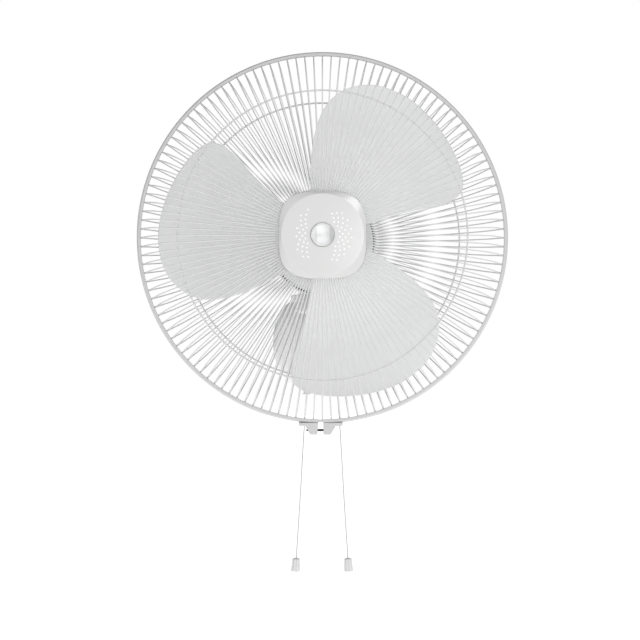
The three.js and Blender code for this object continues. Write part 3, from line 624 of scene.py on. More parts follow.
# ------------------------------------------------------------------ guard
WIRES = 128
WIRE_R = 0.80


def disc_zone(c, n):
    """Middle disc of a guard half; the ring at its edge in which its wires end is painted near-black as shade."""
    if 65.2 < math.hypot(c.x, c.z - AXIS_Z) < 67.3 and n.y < -0.9 and abs(c.y + 159.2) < 0.15:
        return 2
    return 1 if math.hypot(c.x, c.z - AXIS_Z) < 71.5 and abs(n.y) > 0.3 and abs(c.y - (-159.6 if c.y > -200 else -303.2)) < 1.6 else 0


def spread_line(points, steps=5):
    """Smooth (radius, y) line through the stations."""
    return smooth_rings([tuple(p) for p in points], steps)


def radial_wires(line, wire_r, sides=8):
    """Round wires along one line, repeated round the axis."""
    m = len(line)
    frames = []
    for k in range(m):
        a, b = line[max(0, k - 1)], line[min(m - 1, k + 1)]
        dr, dy = b[0] - a[0], b[1] - a[1]
        l = math.hypot(dr, dy)
        frames.append((-dy / l, dr / l))
    v, f = [], []
    for w in range(WIRES):
        t = 2 * math.pi * w / WIRES
        ct, st = math.cos(t), math.sin(t)
        base = len(v)
        for k in range(m):
            nr, ny = frames[k]
            r0, y0 = line[k]
            for s in range(sides):
                p = 2 * math.pi * (s + 0.5) / sides
                c, q = wire_r * math.cos(p), wire_r * math.sin(p)
                r, y = r0 + c * nr, y0 + c * ny
                v.append((r * ct - q * st, y, r * st + q * ct))
        for k in range(m - 1):
            for s in range(sides):
                u = (s + 1) % sides
                f.append((base + k * sides + s, base + k * sides + u, base + (k + 1) * sides + u, base + (k + 1) * sides + s))
        f.append(tuple(base + s for s in reversed(range(sides))))
        f.append(tuple(base + (m - 1) * sides + s for s in range(sides)))
    return Geo(v, f)


front_line = spread_line([(47, -301.6), (54, -302.4), (64, -303.4), (100, -301.6), (140, -299.4), (170, -297.4), (186, -294.6),
                          (199, -288.0), (207, -278.5), (212.5, -268), (216.4, -260.2), (219.2, -257.0), (221.2, -256.2)])
rear_line = spread_line([(64, -159.9), (72, -161.4), (100, -173.0), (140, -191.1), (170, -204.6), (186, -213.4),
                         (199, -223.2), (207, -232.5), (212.8, -241.5), (216.6, -247.0), (219.2, -249.2), (221.2, -249.8)])
front_disc = lathe(fillet([(9, -303.2), (16, -303.2), (18, -302.2), (42, -302.2), (44, -303.2), (50.5, -303.2), (50.5, -304.3), (43.6, -304.3),
                           (41.6, -303.3), (18.4, -303.3), (16.4, -304.3), (9, -304.3)], 0.35, 2), 128)
piece("front_guard", on_axis(radial_wires(front_line, WIRE_R) + torus(171, 1.0, -295.5) + torus(221.3, 1.5, -256.35) + front_disc),
      "swing_head", "wire", "front_grille", sharp=50)

rear_disc = lathe(fillet([(22.4, -158.4), (38, -158.4), (40, -159.6), (58, -159.6), (60, -158.4), (67.9, -158.4), (69.6, -159.9), (68.9, -160.8), (67.5, -159.7), (67.2, -159.2),
                          (65.3, -159.2), (64.9, -159.8), (60.6, -159.8), (58.6, -161.0), (39.4, -161.0), (37.4, -159.8), (22.4, -159.8)], 0.3, 2), 160)
piece("rear_guard", on_axis(radial_wires(rear_line, WIRE_R) + torus(171, 1.0, -206.9) + torus(221.6, 1.3, -249.6) + rear_disc),
      "swing_head", ["wire", "disc", "painted_groove_shade"], "rear_grille", sharp=50, pick=disc_zone)

# split hoop with its clamp
HOOP = fillet([(219.1, -260), (222.3, -260), (224.5, -255.4), (224.5, -244), (221.3, -244), (221.3, -245.5), (222.9, -245.5), (222.9, -258.5), (219.1, -258.5)],
              [0.7, 0.5, 1.6, 1.4, 0.6, 0.6, 0.6, 0.6, 0.6], 5)
hoop = lathe(HOOP, 320, a0=270.31, a1=628.66)
SCREW_Z, SCREW_Y = -232.9, -252.0
bar_left = prism([(-28.5, -223.4), (-5.2, -223.4), (-5.2, -227.4), (-26.5, -227.4), (-28.5, -226.6)], -259.4, -244.6, "xz", 0.7, 3)
bar_right = prism([(1.2, -223.4), (24.5, -223.4), (24.5, -226.6), (22.5, -227.4), (1.2, -227.4)], -259.4, -244.6, "xz", 0.7, 3)
lug_left = prism([(-21.3, -226), (-5.25, -226), (-6.2, -238), (-14.8, -238)], -258, -246, "xz", 0.8, 3)
lug_right = prism([(1.25, -226), (17, -226), (10, -238), (1.25, -238)], -258, -246, "xz", 0.8, 3)
screw_way = rod(1.95, -30, 30, 32, "x").move(y=SCREW_Y, z=SCREW_Z)
head_way = rod(3.2, 8.4, 20, 32, "x").move(y=SCREW_Y, z=SCREW_Z)
nut_pocket = block(-12.4, -8.4, -255.6, -248.4, -240, -229.2)
clamp = join(bar_left, lug_left) + join(bar_right, lug_right)
clamp = cut(clamp, screw_way, head_way, nut_pocket)
piece("rim_hoop", on_axis(hoop + clamp), "swing_head", "hoop", "rim_band", sharp=40)




clamp_screw = join(thread(1.5, 1.25, -19.4, 8.9, 0.5, 28),
                   lathe(fillet([(0, 8.7), (2.6, 8.7), (2.6, 11.4), (0, 11.4)], [0, 0.25, 0.8, 0], 3, closed=False), 40, "x"))
clamp_screw = cut(clamp_screw, block(10.4, 12.4, -0.4, 0.4, -3.2, 3.2), block(10.4, 12.4, -3.2, 3.2, -0.4, 0.4))
piece("clamp_screw_fine", on_axis(clamp_screw.move(y=SCREW_Y, z=SCREW_Z)), "swing_head", "oxide", "clamp_screw", sharp=30)
hexagon = [(3.3 * math.cos(RAD(60 * i)), 3.3 * math.sin(RAD(60 * i))) for i in range(6)]
nut = cut(prism(hexagon, -12, -8.8, "yz", 0.25, 2), rod(1.9, -14, -7, 32, "x"))
piece("clamp_nut_fine", on_axis(nut.move(y=SCREW_Y, z=SCREW_Z)), "swing_head", "steel", "clamp_nut", sharp=25)

# ------------------------------------------------------------------ hub cover and badge
COVER_SEGS = 144
FACE_R = 48.4
FOOT_HALF = 51.1
FOOT_N = 3.16
FACE_Y = -310.0
BADGE_R = 13.9


def foot_radius(t):
    c, s = math.cos(t), math.sin(t)
    return FOOT_HALF * (abs(c) ** FOOT_N + abs(s) ** FOOT_N) ** (-1 / FOOT_N)


def face_y(r):
    """Slightly crowned round face."""
    return FACE_Y + 0.55 * (r / FACE_R) ** 2


def cover_ring(kind, value, y):
    """One ring: 'foot' at a distance in from the foot outline, 'slope' a share of the way from foot to face, 'round' at a radius."""
    pts = []
    for i in range(COVER_SEGS):
        t = 2 * math.pi * i / COVER_SEGS
        rf = foot_radius(t)
        r = rf - value if kind == "foot" else (rf + (FACE_R - rf) * value if kind == "slope" else value)
        pts.append((r * math.cos(t), y, r * math.sin(t)))
    return pts


SLOPE = [(0.0, -306.0), (0.02, -306.2), (0.06, -306.42), (0.12, -306.64), (0.3, -307.22), (0.6, -308.18), (0.9, -309.14), (0.97, -309.32)]
cover = loft(
    [cover_ring("round", 6, -308.3), cover_ring("round", 15.2, -308.3), cover_ring("round", 15.2, -307.4), cover_ring("round", 40, -307.3),
     cover_ring("round", 45.6, -306.9), cover_ring("foot", 2.0, -305.6), cover_ring("foot", 1.8, -305.35), cover_ring("foot", 0.35, -305.35),
     cover_ring("foot", 0.1, -305.45), cover_ring("foot", 0.0, -305.7)]
    + [cover_ring("slope", s, y) for s, y in SLOPE]
    + [cover_ring("round", 48.3, -309.41), cover_ring("round", 47.9, -309.455)]
    + [cover_ring("round", r, face_y(r)) for r in (46.5, 43, 39, 36, 30, 24, 19, 14.6)]
    + [cover_ring("round", 14.3, face_y(15) + 0.06), cover_ring("round", 14.1, face_y(15) + 0.2), cover_ring("round", 14.1, -309.0), cover_ring("round", 6, -309.0)])
dots = Geo()
DOT_RINGS = ((20.2, 12), (23.6, 3), (27.1, 12), (30.5, 3), (33.9, 12))
for r, start in DOT_RINGS:
    for k in range(20):
        x, z = r * math.cos(RAD(start + 18 * k)), r * math.sin(RAD(start + 18 * k))
        if -30.8 < x < -15.8 and abs(z) < 29.8 or 10.6 < x < 34.3 and -30.2 < z < 27.6:
            y = face_y(r)
            dots = dots + lathe([(0, y + 0.5), (1.28, y + 0.5), (1.28, y + 0.02), (1.22, y - 0.16), (1.0, y - 0.34), (0.6, y - 0.45), (0, y - 0.48)], 16).move(x=x, z=z)
cover = join(cover, dots)


def dot_zone(c, n):
    x, z = c.x, c.z - AXIS_Z
    return 1 if c.y < face_y(math.hypot(x, z)) - 0.02 and 17 < math.hypot(x, z) < 37 else 0


piece("hub_cover_shell", on_axis(cover), "swing_head", ["hub", "dot"], "hub_cover", sharp=9, pick=dot_zone)
badge = lathe(fillet([(0, -310.25), (5, -310.3), (9, -310.48), (11.6, -310.8), (12.9, -311.15), (13.6, -311.2), (BADGE_R, -310.6), (BADGE_R, -309.35), (0, -309.35)],
                     [0, 2, 2, 1.5, 0.5, 0.5, 0.5, 0.3, 0], 4, closed=False), 160)
piece("badge_dish", on_axis(badge), "swing_head", "silver", "badge_disc", sharp=40)

# ------------------------------------------------------------------ blades
LEAD = [(38, 4.5), (64, 3.5), (88, 3), (124, 2), (148, 1), (165, 1.5), (178, 3), (186, 6), (191, 12), (195, 23), (198.4, 34), (200, 42.5)]
TRAIL = [(38, 92), (58, 89.5), (74, 86.5), (100, 82.5), (126, 79), (158, 73.5), (176, 68), (188, 62), (197.5, 53), (198.4, 50), (200, 44.5)]
BLADE_MID_Y = -252.0
BLADE_T = 2.2


def hermite(table, r):
    """Monotone cubic through the table."""
    xs, ys = [a for a, _ in table], [b for _, b in table]
    if r <= xs[0]:
        return ys[0]
    if r >= xs[-1]:
        return ys[-1]
    i = max(k for k in range(len(xs) - 1) if xs[k] <= r)
    d = [(ys[k + 1] - ys[k]) / (xs[k + 1] - xs[k]) for k in range(len(xs) - 1)]

    def slope(k):
        if k == 0:
            return d[0]
        if k == len(xs) - 1:
            return d[-1]
        if d[k - 1] * d[k] <= 0:
            return 0.0
        return 2 * d[k - 1] * d[k] / (d[k - 1] + d[k])
    h = xs[i + 1] - xs[i]
    t = (r - xs[i]) / h
    return (ys[i] * (1 + 2 * t) * (1 - t) ** 2 + slope(i) * h * t * (1 - t) ** 2 + ys[i + 1] * t * t * (3 - 2 * t) + slope(i + 1) * h * t * t * (t - 1))


def blade_y(r, a):
    h = 44 + 12 * (r - 44) / 156
    t = a / 88.0
    return BLADE_MID_Y + h * (0.5 - t) + 6 * math.sin(math.pi * min(1.0, max(0.0, t)))


def one_blade():
    radii = [40.5, 44, 48, 53, 59, 66, 74, 82, 90, 98, 106, 114, 122, 130, 138, 146, 153, 159, 165, 170, 175, 179, 182.5, 185.5, 188, 190,
             191.6, 193, 194.2, 195.2, 196.1, 196.9, 197.6, 198.2, 198.7, 199.1, 199.45, 199.7, 199.88, 200.0]
    edge = []
    for r in [38 + 162 * i / 260 for i in range(261)]:
        a = RAD(hermite(LEAD, r))
        edge.append((r * math.cos(a), r * math.sin(a)))
    for r in [200 - 162 * i / 260 for i in range(261)]:
        a = RAD(hermite(TRAIL, r))
        edge.append((r * math.cos(a), r * math.sin(a)))
    n_inner = 22
    top, bottom, cols = [], [], None
    for r in radii:
        a0, a1 = hermite(LEAD, r), hermite(TRAIL, r)
        arc = RAD(a1 - a0) * r
        near = [0.0, 0.18, 0.5, 1.0, 1.8, 3.2]
        if arc < 12:
            near = [x * arc / 12 for x in near]
        shares = [x / arc for x in near]
        mid = [shares[-1] + (1 - 2 * shares[-1]) * k / n_inner for k in range(1, n_inner)]
        shares = shares + mid + [1 - s for s in reversed(shares)]
        cols = len(shares)
        for s in shares:
            a = a0 + (a1 - a0) * s
            x, z = r * math.cos(RAD(a)), r * math.sin(RAD(a))
            d = 9.9
            if s < 0.2 or s > 0.8 or r > 185:
                d = 1e9
                for k in range(len(edge) - 1):
                    (x0, z0), (x1, z1) = edge[k], edge[k + 1]
                    dx, dz = x1 - x0, z1 - z0
                    l2 = dx * dx + dz * dz
                    u = 0.0 if l2 < 1e-12 else max(0.0, min(1.0, ((x - x0) * dx + (z - z0) * dz) / l2))
                    d = min(d, math.hypot(x - x0 - u * dx, z - z0 - u * dz))
            full = BLADE_T / 2 * (1.0 - 0.12 * (r - 44) / 156)
            e = min(1.0, d / 1.3)
            half = full * math.sqrt(max(0.0, 1 - (1 - e) ** 2))
            half = max(half, 0.04)
            y = blade_y(r, a)
            top.append((x, y - half, z))
            bottom.append((x, y + half, z))
    n = len(top)
    v = top + bottom
    f = []
    rows = len(radii)
    at = lambda i, k, side: side * n + i * cols + k
    for i in range(rows - 1):
        for k in range(cols - 1):
            f.append((at(i, k, 0), at(i, k + 1, 0), at(i + 1, k + 1, 0), at(i + 1, k, 0)))
            f.append((at(i, k, 1), at(i + 1, k, 1), at(i + 1, k + 1, 1), at(i, k + 1, 1)))
        f.append((at(i, 0, 0), at(i + 1, 0, 0), at(i + 1, 0, 1), at(i, 0, 1)))
        f.append((at(i, cols - 1, 0), at(i, cols - 1, 1), at(i + 1, cols - 1, 1), at(i + 1, cols - 1, 0)))
    for k in range(cols - 1):
        f.append((at(0, k, 0), at(0, k, 1), at(0, k + 1, 1), at(0, k + 1, 0)))
        e = rows - 1
        f.append((at(e, k, 0), at(e, k + 1, 0), at(e, k + 1, 1), at(e, k, 1)))
    return Geo(v, f)


blade = one_blade()
blade_hub = lathe(fillet([(4.4, -281), (32, -280.4), (44, -270), (44, -226), (41.4, -226), (41.4, -268), (31, -277), (11, -277.6), (11, -240), (4.4, -240)],
                         [0.5, 5, 5, 0.8, 0.8, 4, 4, 1.5, 0.6, 0.4], 5), 144)
ribs = [block(10.5, 41.8, -276, -250, -0.9, 0.9).turn("Y", 60 * k + 30) for k in range(6)]
blades = join(blade_hub, blade.turn("Y", -15), blade.turn("Y", -135), blade.turn("Y", -255), *ribs)
blades = cut(blades, block(-12, 12, -244, -238, -1.6, 1.6))
piece("blades", on_axis(blades), "fan_rotor", "blade", "blade_set", sharp=42)




nut_outer = fluted(fillet([(0, -293.5), (6, -293), (12, -289.5), (15, -284), (15.5, -281.35), (0, -281.35)], [0, 3, 3, 2, 0.4, 0], 4, closed=False), 12, 1.0,
                   fade=lambda r, h: max(0.0, min(1.0, (r - 9) / 4)) if h > -291 else 0.0)
piece("blade_nut_fine", on_axis(cut(nut_outer, rod(4.4, -290, -280, 48))), "fan_rotor", "satin", "blade_nut", sharp=40)

# ------------------------------------------------------------------ motor and its cover
def annulus(inner, outer, h0, h1, n=288, axis="y"):
    """Flat ring whose inner and outer radius are functions of the angle in degrees."""
    put = {"y": lambda r, t, h: (r * math.cos(t), h, r * math.sin(t)), "z": lambda r, t, h: (r * math.cos(t), r * math.sin(t), h)}[axis]
    v, f = [], []
    for fn in (inner, outer):
        for h in (h0, h1):
            for i in range(n):
                v.append(put(fn(360.0 * i / n), 2 * math.pi * i / n, h))
    for i in range(n):
        j = (i + 1) % n
        a0, a1, b0, b1 = 0, n, 2 * n, 3 * n
        f += [(a0 + i, a0 + j, a1 + j, a1 + i), (b0 + i, b1 + i, b1 + j, b0 + j), (a0 + i, b0 + i, b0 + j, a0 + j), (a1 + i, a1 + j, b1 + j, b1 + i)]
    return Geo(v, f)


def slot_body(x0, x1, half, y0, y1):
    """Straight slot with round ends, lying along x and cut along y."""
    return prism(circle(x0 + half, 0, half, 10, 90, 270) + circle(x1 - half, 0, half, 10, -90, 90), y0, y1, "xz")


cover_profile = fillet(
    [(0, -71), (36, -72.5), (50, -80), (61, -100), (61, -146.2), (60.4, -146.6), (60.4, -147.6), (61, -148), (61, -153.9), (58.6, -153.9),
     (58.6, -100.6), (48.4, -81.9), (35.4, -74.9), (0, -73.4)],
    [0, 14, 16, 16, 0.2, 0.15, 0.15, 0.2, 0.6, 0.3, 14, 14, 12, 0], 7, closed=False)
vents = Geo()
for i in range(16):
    vents = vents + slot_body(19, 46, 1.5, -99, -66).turn("Y", -(i + 0.5) * 22.5)
lead_way = rod(5, -66, -48, 40, "z").move(x=-14, y=-102)
motor_cover = cut(lathe(cover_profile, 160), vents, lead_way)
piece("motor_cover", on_axis(bevelled(motor_cover, 0.35, 1, 60)), "swing_head", "shell", "motor_rear_housing", sharp=38)

BOLTS = [(50 * math.cos(RAD(d)), 50 * math.sin(RAD(d))) for d in (90, 210, 330)]
plate = lathe(fillet([(6.5, -172), (20.6, -172), (21.5, -171.2)] + [p for k in range(6) for p in ((21.5, -170.4 + 1.6 * k), (20.9, -169.9 + 1.6 * k), (20.9, -169.4 + 1.6 * k), (21.5, -168.95 + 1.6 * k))]
              + [(21.5, -158.6), (23.0, -157.8), (64.8, -157.8), (66, -156.8), (66, -154.3), (10.4, -154.3), (10.4, -168), (6.5, -168)], 0.15, 1), 144)
plate = cut(plate, *[rod(2.2, -160, -150, 28).move(x=x, z=z) for x, z in BOLTS])
piece("motor_front_fine", on_axis(plate), "swing_head", "cast", "motor_front_plate", sharp=30)
bracket = lathe(fillet([(10.4, -83.6), (14, -83.6), (14, -88), (46.5, -88), (46.5, -96.2), (53.5, -96.2), (53.5, -98.8), (44.9, -98.8), (44.9, -90.6), (10.4, -90.6)],
                       [0.4, 0.8, 1.2, 1.5, 1.2, 0.5, 0.4, 1.2, 1.2, 0.4], 3), 128)
bracket = cut(bracket, *[rod(2.2, -100, -94, 24).move(x=x, z=z) for x, z in BOLTS])
piece("motor_rear_fine", on_axis(bracket), "swing_head", "cast", "motor_rear_bracket", sharp=30)


def tooth(a):
    p = (a % 15.0) / 15.0
    return 36.5 if 0.30 < p < 0.70 else 25.2


piece("stator_stack", on_axis(annulus(tooth, lambda a: 46.0, -135, -106, 480)), "swing_head", "lamination", "stator_core", sharp=30)
for name, pts in (("winding_front", [(27.5, -135.4), (43, -135.4), (44, -141), (40, -149), (31, -149), (27.5, -141)]),
                  ("winding_rear", [(27.5, -105.6), (43, -105.6), (44, -100), (40, -94.6), (31, -94.6), (27.5, -100)])):
    body = lathe(fillet(pts, [0.8, 0.8, 3.5, 4, 4, 3.5], 4), 192)

    def bundle(x, y, z, mid=-139 if "front" in name else -101):
        r, a = math.hypot(x, z), math.atan2(z, x)
        k = 1 + 0.012 * math.cos(24 * a) + 0.006 * math.sin(60 * a)
        rr = 35.5 + (r - 35.5) * k
        return (rr * math.cos(a), mid + (y - mid) * (1 + 0.02 * math.cos(24 * a + 1.0)) if abs(y - mid) > 4.5 else y, rr * math.sin(a))
    piece(name + "_coils", on_axis(body.shape(bundle)), "swing_head", "copper", name, sharp=60)
for name, a, b in (("front_bearing", -167.6, -156), ("rear_bearing", -90.2, -84)):
    piece(name + "_fine", on_axis(ring(4.4, 10, a, b, 72, edge=0.6)), "swing_head", "brass", name)
for i, (x, z) in enumerate(BOLTS):
    bolt = join(thread(1.8, 1.55, -157.6, -140, 0.7, 20, "y"), rod(1.75, -140.2, -95.8, 24),
                lathe(fillet([(0, -95.85), (3.2, -95.85), (3.2, -93.6), (0, -93.6)], [0, 0.3, 0.9, 0], 3, closed=False), 32))
    bolt = cut(bolt, block(-2.2, 2.2, -94.7, -93, -0.35, 0.35), block(-0.35, 0.35, -94.7, -93, -2.2, 2.2))
    piece(f"motor_bolt_{i + 1}_fine", on_axis(bolt.move(x=x, z=z)), "swing_head", "steel", f"motor_bolt_{i + 1}")
shaft = lathe(fillet([(0, -289), (4, -289), (4, -83), (0, -83)], [0, 0.7, 0.7, 0], 2, closed=False), 64)
shaft = cut(shaft, rod(1.55, -8, 8, 24, "x").move(y=-242), block(-5, 5, -288.9, -284, 3.2, 5))
piece("motor_shaft_fine", on_axis(shaft), "fan_rotor", "steel", "motor_shaft")
rotor = annulus(lambda a: 4.35, lambda a: 24.6 - (0.35 if (a % 12.0) < 2.4 else 0.0), -135, -106, 480)
piece("rotor_stack", on_axis(rotor), "fan_rotor", "lamination", "rotor_core", sharp=30)
piece("drive_pin_fine", on_axis(rod(1.2, -9.6, 9.6, 32, "x", edge=0.35).move(y=-242)), "fan_rotor", "steel", "drive_pin")

# guard nut with finger grips
grip = fluted(fillet([(0, -160.7), (33, -160.7), (33, -165.5), (30.5, -168.5), (0, -168.5)], [0, 0.6, 1.5, 1.0, 0], 3, closed=False), 24, 1.3, 288,
              fade=lambda r, h: 1.0 if h > -166.5 and r > 30 else max(0.0, min(1.0, (h + 168.6) / 2.0)) if r > 30 else 0.0)
piece("grille_nut", on_axis(cut(grip, rod(22.1, -175, -155, 96))), "swing_head", "black", "rear_grille_nut", sharp=35)

# ------------------------------------------------------------------ saddle, neck and swing drive
SWING_Y = -112.0
saddle = lathe(fillet([(0, 62), (38.6, 62), (38.6, 54.5), (41, 54.5), (41, 63), (39, 64.6), (0, 64.6)], [0, 0.6, 0.4, 0.4, 1.6, 1.2, 0], 4, closed=False), 128, "z").move(y=SWING_Y)
seat = loft([[(x, y, z) for x, y in fillet([(-h, -114 - h), (h, -114 - h), (h, -114 + h), (-h, -114 + h)], r, 8)]
             for h, r, z in ((33, 15, 63.5), (31.4, 14, 64.6), (29.8, 12.5, 66), (28.6, 11, 68), (27.8, 10, 70.5), (27.2, 9.5, 74), (26.8, 9, 79))])
bed = rod(61.9, -150, -80, 160).move(z=AXIS_Z)
saddle = cut(join(saddle, seat), bed, rod(5, 60, 80, 36, "z").move(x=-14, y=-102))
saddle = join(saddle, rod(1.8, 58.9, 62.5, 28, "z", edge=0.3).move(x=17, y=SWING_Y))
piece("saddle", bevelled(saddle, 0.4, 1, 60), "swing_head", "shell", "head_saddle", sharp=38)
post = lathe(fillet([(0, 46), (5, 46), (5, 56.7), (6.2, 56.7), (6.2, 60.9), (8.5, 60.9), (8.5, 61.65), (0, 61.65)], [0, 0.5, 0.2, 0.2, 0.2, 0.2, 0.2, 0], 2, closed=False), 64, "z").move(y=SWING_Y)
piece("swing_post_fine", post, "swing_head", "steel", "swing_post")
tongue = rod(11.5, -11.6, 11.6, 72, "x", edge=0.8).move(y=-108, z=22)
column = prism([(-119, 24), (-97, 24), (-94.5, 33), (-90.5, 41.5), (-129.5, 41.5), (-125, 33)], -11.6, 11.6, "yz", 1.6, 4)
bowl = lathe(fillet([(0, 40), (33, 40), (37, 44), (37, 55), (34.6, 55), (34.6, 44.5), (33, 43), (0, 43)], [0, 3.5, 3.5, 0.5, 0.4, 1.5, 1.5, 0], 6, closed=False), 128, "z").move(y=SWING_Y)
neck = join(bowl, column, tongue, rod(9.6, 42, 56, 64, "z", edge=0.5).move(y=SWING_Y))
neck = cut(neck, rod(7.85, 44, 58, 64, "z").move(y=SWING_Y), rod(4.4, -40, 40, 48, "x").move(y=-108, z=22), rod(4, 35, 46, 36, "z").move(x=-20, y=-104))
piece("neck", neck, "tilt_neck", "shell", "neck_bowl", sharp=34)
piece("swing_bush_fine", ring(5.35, 7.5, 44.4, 56.3, 64, "z", 0.4).move(y=SWING_Y), "tilt_neck", "brass", "swing_bush")
CRANK = (5.6, -131.0)
gear = lathe(fillet([(0, 44.9), (11.5, 44.9), (11.5, 48.6), (11.1, 48.9), (11.1, 50.6), (11.5, 50.9), (11.5, 54.8), (0, 54.8)], [0, 0.6, 0.1, 0.1, 0.1, 0.1, 0.8, 0], 3, closed=False), 72, "z").move(x=3.5, y=-133.7)
gear = join(gear, rod(1.9, 54, 57.3, 32, "z", edge=0.3).move(x=CRANK[0], y=CRANK[1]), rod(3.6, 54.2, 55.4, 40, "z", edge=0.3).move(x=CRANK[0], y=CRANK[1]))
piece("swing_motor_fine", gear, "tilt_neck", "zinc", "swing_motor")
pin_x = CRANK[0] + 12.6
web = prism(circle(CRANK[0], CRANK[1], 4.5, 20, 90, 270) + circle(pin_x, CRANK[1], 4, 20, -90, 90), 56.6, 58.4, "xy", 0.25, 2)
crank = cut(join(web, rod(1.8, 58.2, 60.9, 32, "z", edge=0.3).move(x=pin_x, y=CRANK[1])), rod(2.25, 56, 57.6, 32, "z").move(x=CRANK[0], y=CRANK[1]))
piece("crank_fine", crank, "swing_crank", "brass", "crank_arm")
bar = prism(circle(pin_x, CRANK[1], 4.2, 20, 180, 360) + circle(pin_x, CRANK[1] + 19, 5.8, 20, 0, 180), 58.8, 60.4, "xy", 0.2, 2)
bar = cut(bar, rod(2.2, 57, 62, 32, "z").move(x=pin_x, y=CRANK[1]), rod(3.5, 57, 62, 40, "z").move(x=pin_x, y=CRANK[1] + 19))
piece("link_fine", bar, "link_bar", "steel", "swing_link")

# ------------------------------------------------------------------ arm and tilt joint
FLANGE_Y = -62.35
flange = prism(fillet([(-17, -10), (17, -10), (22, -5), (22, 28), (17, 33), (-17, 33), (-22, 28), (-22, -5)], 2.5, 3), FLANGE_Y - 5, FLANGE_Y, "xz", 0.8, 2)


def ear(x0, x1):
    return prism(circle(-108, 22, 12, 40, 90, 270) + fillet([(-84, 2), (FLANGE_Y - 2, -6), (FLANGE_Y - 2, 25)], [6, 0, 0], 5), x0, x1, "yz", 1.0, 3)


arm = cut(join(flange, ear(-18, -12), ear(12, 18)), rod(4.4, -40, 40, 48, "x").move(y=-108, z=22),
          *[rod(2.4, -80, -50, 32).move(z=z) for z in (26, 2)])
piece("arm", arm, "wall_base", "shell", "arm_bracket", sharp=34)


def cross_head(r, top, height, segs=48):
    """Pan head of a screw facing -y, its top at y = top, with a cross recess."""
    head = lathe(fillet([(0, top), (r * 0.62, top), (r, top + height * 0.6), (r, top + height), (0, top + height)], [0, r * 0.3, height * 0.4, 0.15, 0], 3, closed=False), segs)
    return cut(head, block(-r * 0.62, r * 0.62, top - 1, top + height * 0.62, -0.42, 0.42), block(-0.42, 0.42, top - 1, top + height * 0.62, -r * 0.62, r * 0.62))


for name, z in (("arm_screw_upper", 26), ("arm_screw_lower", 2)):
    y = FLANGE_Y - 5.35
    screw = join(cross_head(4, y - 2.4, 2.4), thread(2.0, 1.7, y - 0.2, -50, 0.8, 24, "y"))
    piece(name + "_fine", screw.move(z=z), "wall_base", "steel", name)
hex7 = [(7 * math.cos(RAD(60 * i)), 7 * math.sin(RAD(60 * i))) for i in range(6)]
head = cut(prism(hex7, -23, -18.4, "yz", 0.0), cut(rod(12, -26, -22.2, 48, "x"), lathe([(0, -23.6), (5.7, -23.6), (8.2, -22.0), (0, -22.0)], 64, "x")))
bolt = join(head, rod(4, -22, 19, 48, "x"), thread(4.0, 3.55, 18.8, 26, 1.0, 48, "x"))
piece("tilt_bolt_fine", bolt.move(y=-108, z=22), "wall_base", "steel", "tilt_bolt", sharp=28)
lobes = fluted(fillet([(0, 18.4), (8.5, 18.4), (10.2, 20.2), (12, 21.6), (12, 31), (10, 33), (7.2, 33), (6.4, 32.2), (0, 31.8)], [0, 0.8, 1.2, 1.2, 1.6, 0.8, 0.3, 0.3, 0], 3, closed=False), 8, 2.2, 192, "x",
               fade=lambda r, h: 1.0 if r > 9.5 and h > 21 else 0.0 if r < 9 else 0.35)
piece("tilt_knob_fine", cut(lobes, rod(4.4, 17, 26.5, 48, "x")).move(y=-108, z=22), "wall_base", "satin", "tilt_knob", sharp=38)

# ------------------------------------------------------------------ wall base
BASE_A, BASE_B = 67.5, 70.0
POSTS = ((-38, 38), (38, 38), (0, -50))


def dome(inset, front, back, wall):
    """Rings of the base's front cover, quarter ellipse from side to front."""
    rings = [oval(BASE_A - inset, BASE_B - inset, back)]
    for k in range(0, 15):
        t = RAD(90 * k / 14)
        d = (23.5 - wall * 0.2) * (1 - math.cos(t))
        rings.append(oval(BASE_A - inset - d, BASE_B - inset - d, -36 - (front - 36) * math.sin(t)))
    rings.append(oval(22, 23, -front))
    return rings


lip = [oval(BASE_A - 0.9, BASE_B - 0.9, -28.4), oval(BASE_A - 0.55, BASE_B - 0.55, -28.5), oval(BASE_A - 0.15, BASE_B - 0.15, -29.2)]
front = loft(lip + dome(0.0, 62.0, -30.2, 0)[0:])
hollow = loft(dome(2.5, 59.2, -26, 2.5))
front = cut(front, *[rod(4.4, -76, -57, 48, "z").move(x=s * 21.5, y=-40) for s in (-1, 1)])
front = cut(front, hollow)
front = join(front, *[rod(4.2, -57.5, -28.6, 32).move(x=x, z=z) for x, z in POSTS])
front = cut(front, *[rod(1.6, -45, -27, 24).move(x=x, z=z) for x, z in POSTS])
front = cut(front, *[rod(2.4, -66, -54, 32).move(z=z) for z in (26, 2)], rod(7.9, -66, -54, 64).move(z=-25))
piece("base_front", front, "wall_base", "shell", "base_front_cover", sharp=36)
tray = loft([oval(62.4, 64.9, -0.5), oval(63.2, 65.7, -0.62), oval(63.9, 66.4, -1.05), oval(64.4, 66.9, -1.9), oval(65.3, 67.8, -5), oval(66.3, 68.8, -9), oval(67.0, 69.5, -12.5),
             oval(67.4, 69.9, -15.5), oval(67.5, 70, -18), oval(67.5, 70, -26.6), oval(67.3, 69.8, -27.4), oval(66.9, 69.4, -27.9), oval(66.5, 69.0, -28)])
hollow = loft([oval(58, 60.5, -9.3), oval(61, 63.5, -9.6), oval(63.2, 65.7, -12), oval(64.6, 67.1, -15.5), oval(65, 67.5, -18.5), oval(65, 67.5, -30)])
recess = loft([oval(58.5, 60.5, 1), oval(58.5, 60.5, -6.4), oval(57.9, 59.9, -7)])
tray = cut(tray, hollow, recess, block(-10, 10, -11, -6, 43, 53), block(-10, 10, -11, -6, -37, -27), rod(5.2, -76, -56, 48, "z").move(x=22, y=-17))
tray = join(tray, *[rod(4.2, -27.5, -8.5, 32).move(x=x, z=z) for x, z in POSTS])
tray = cut(tray, *[rod(1.9, -29, -6, 24).move(x=x, z=z) for x, z in POSTS])
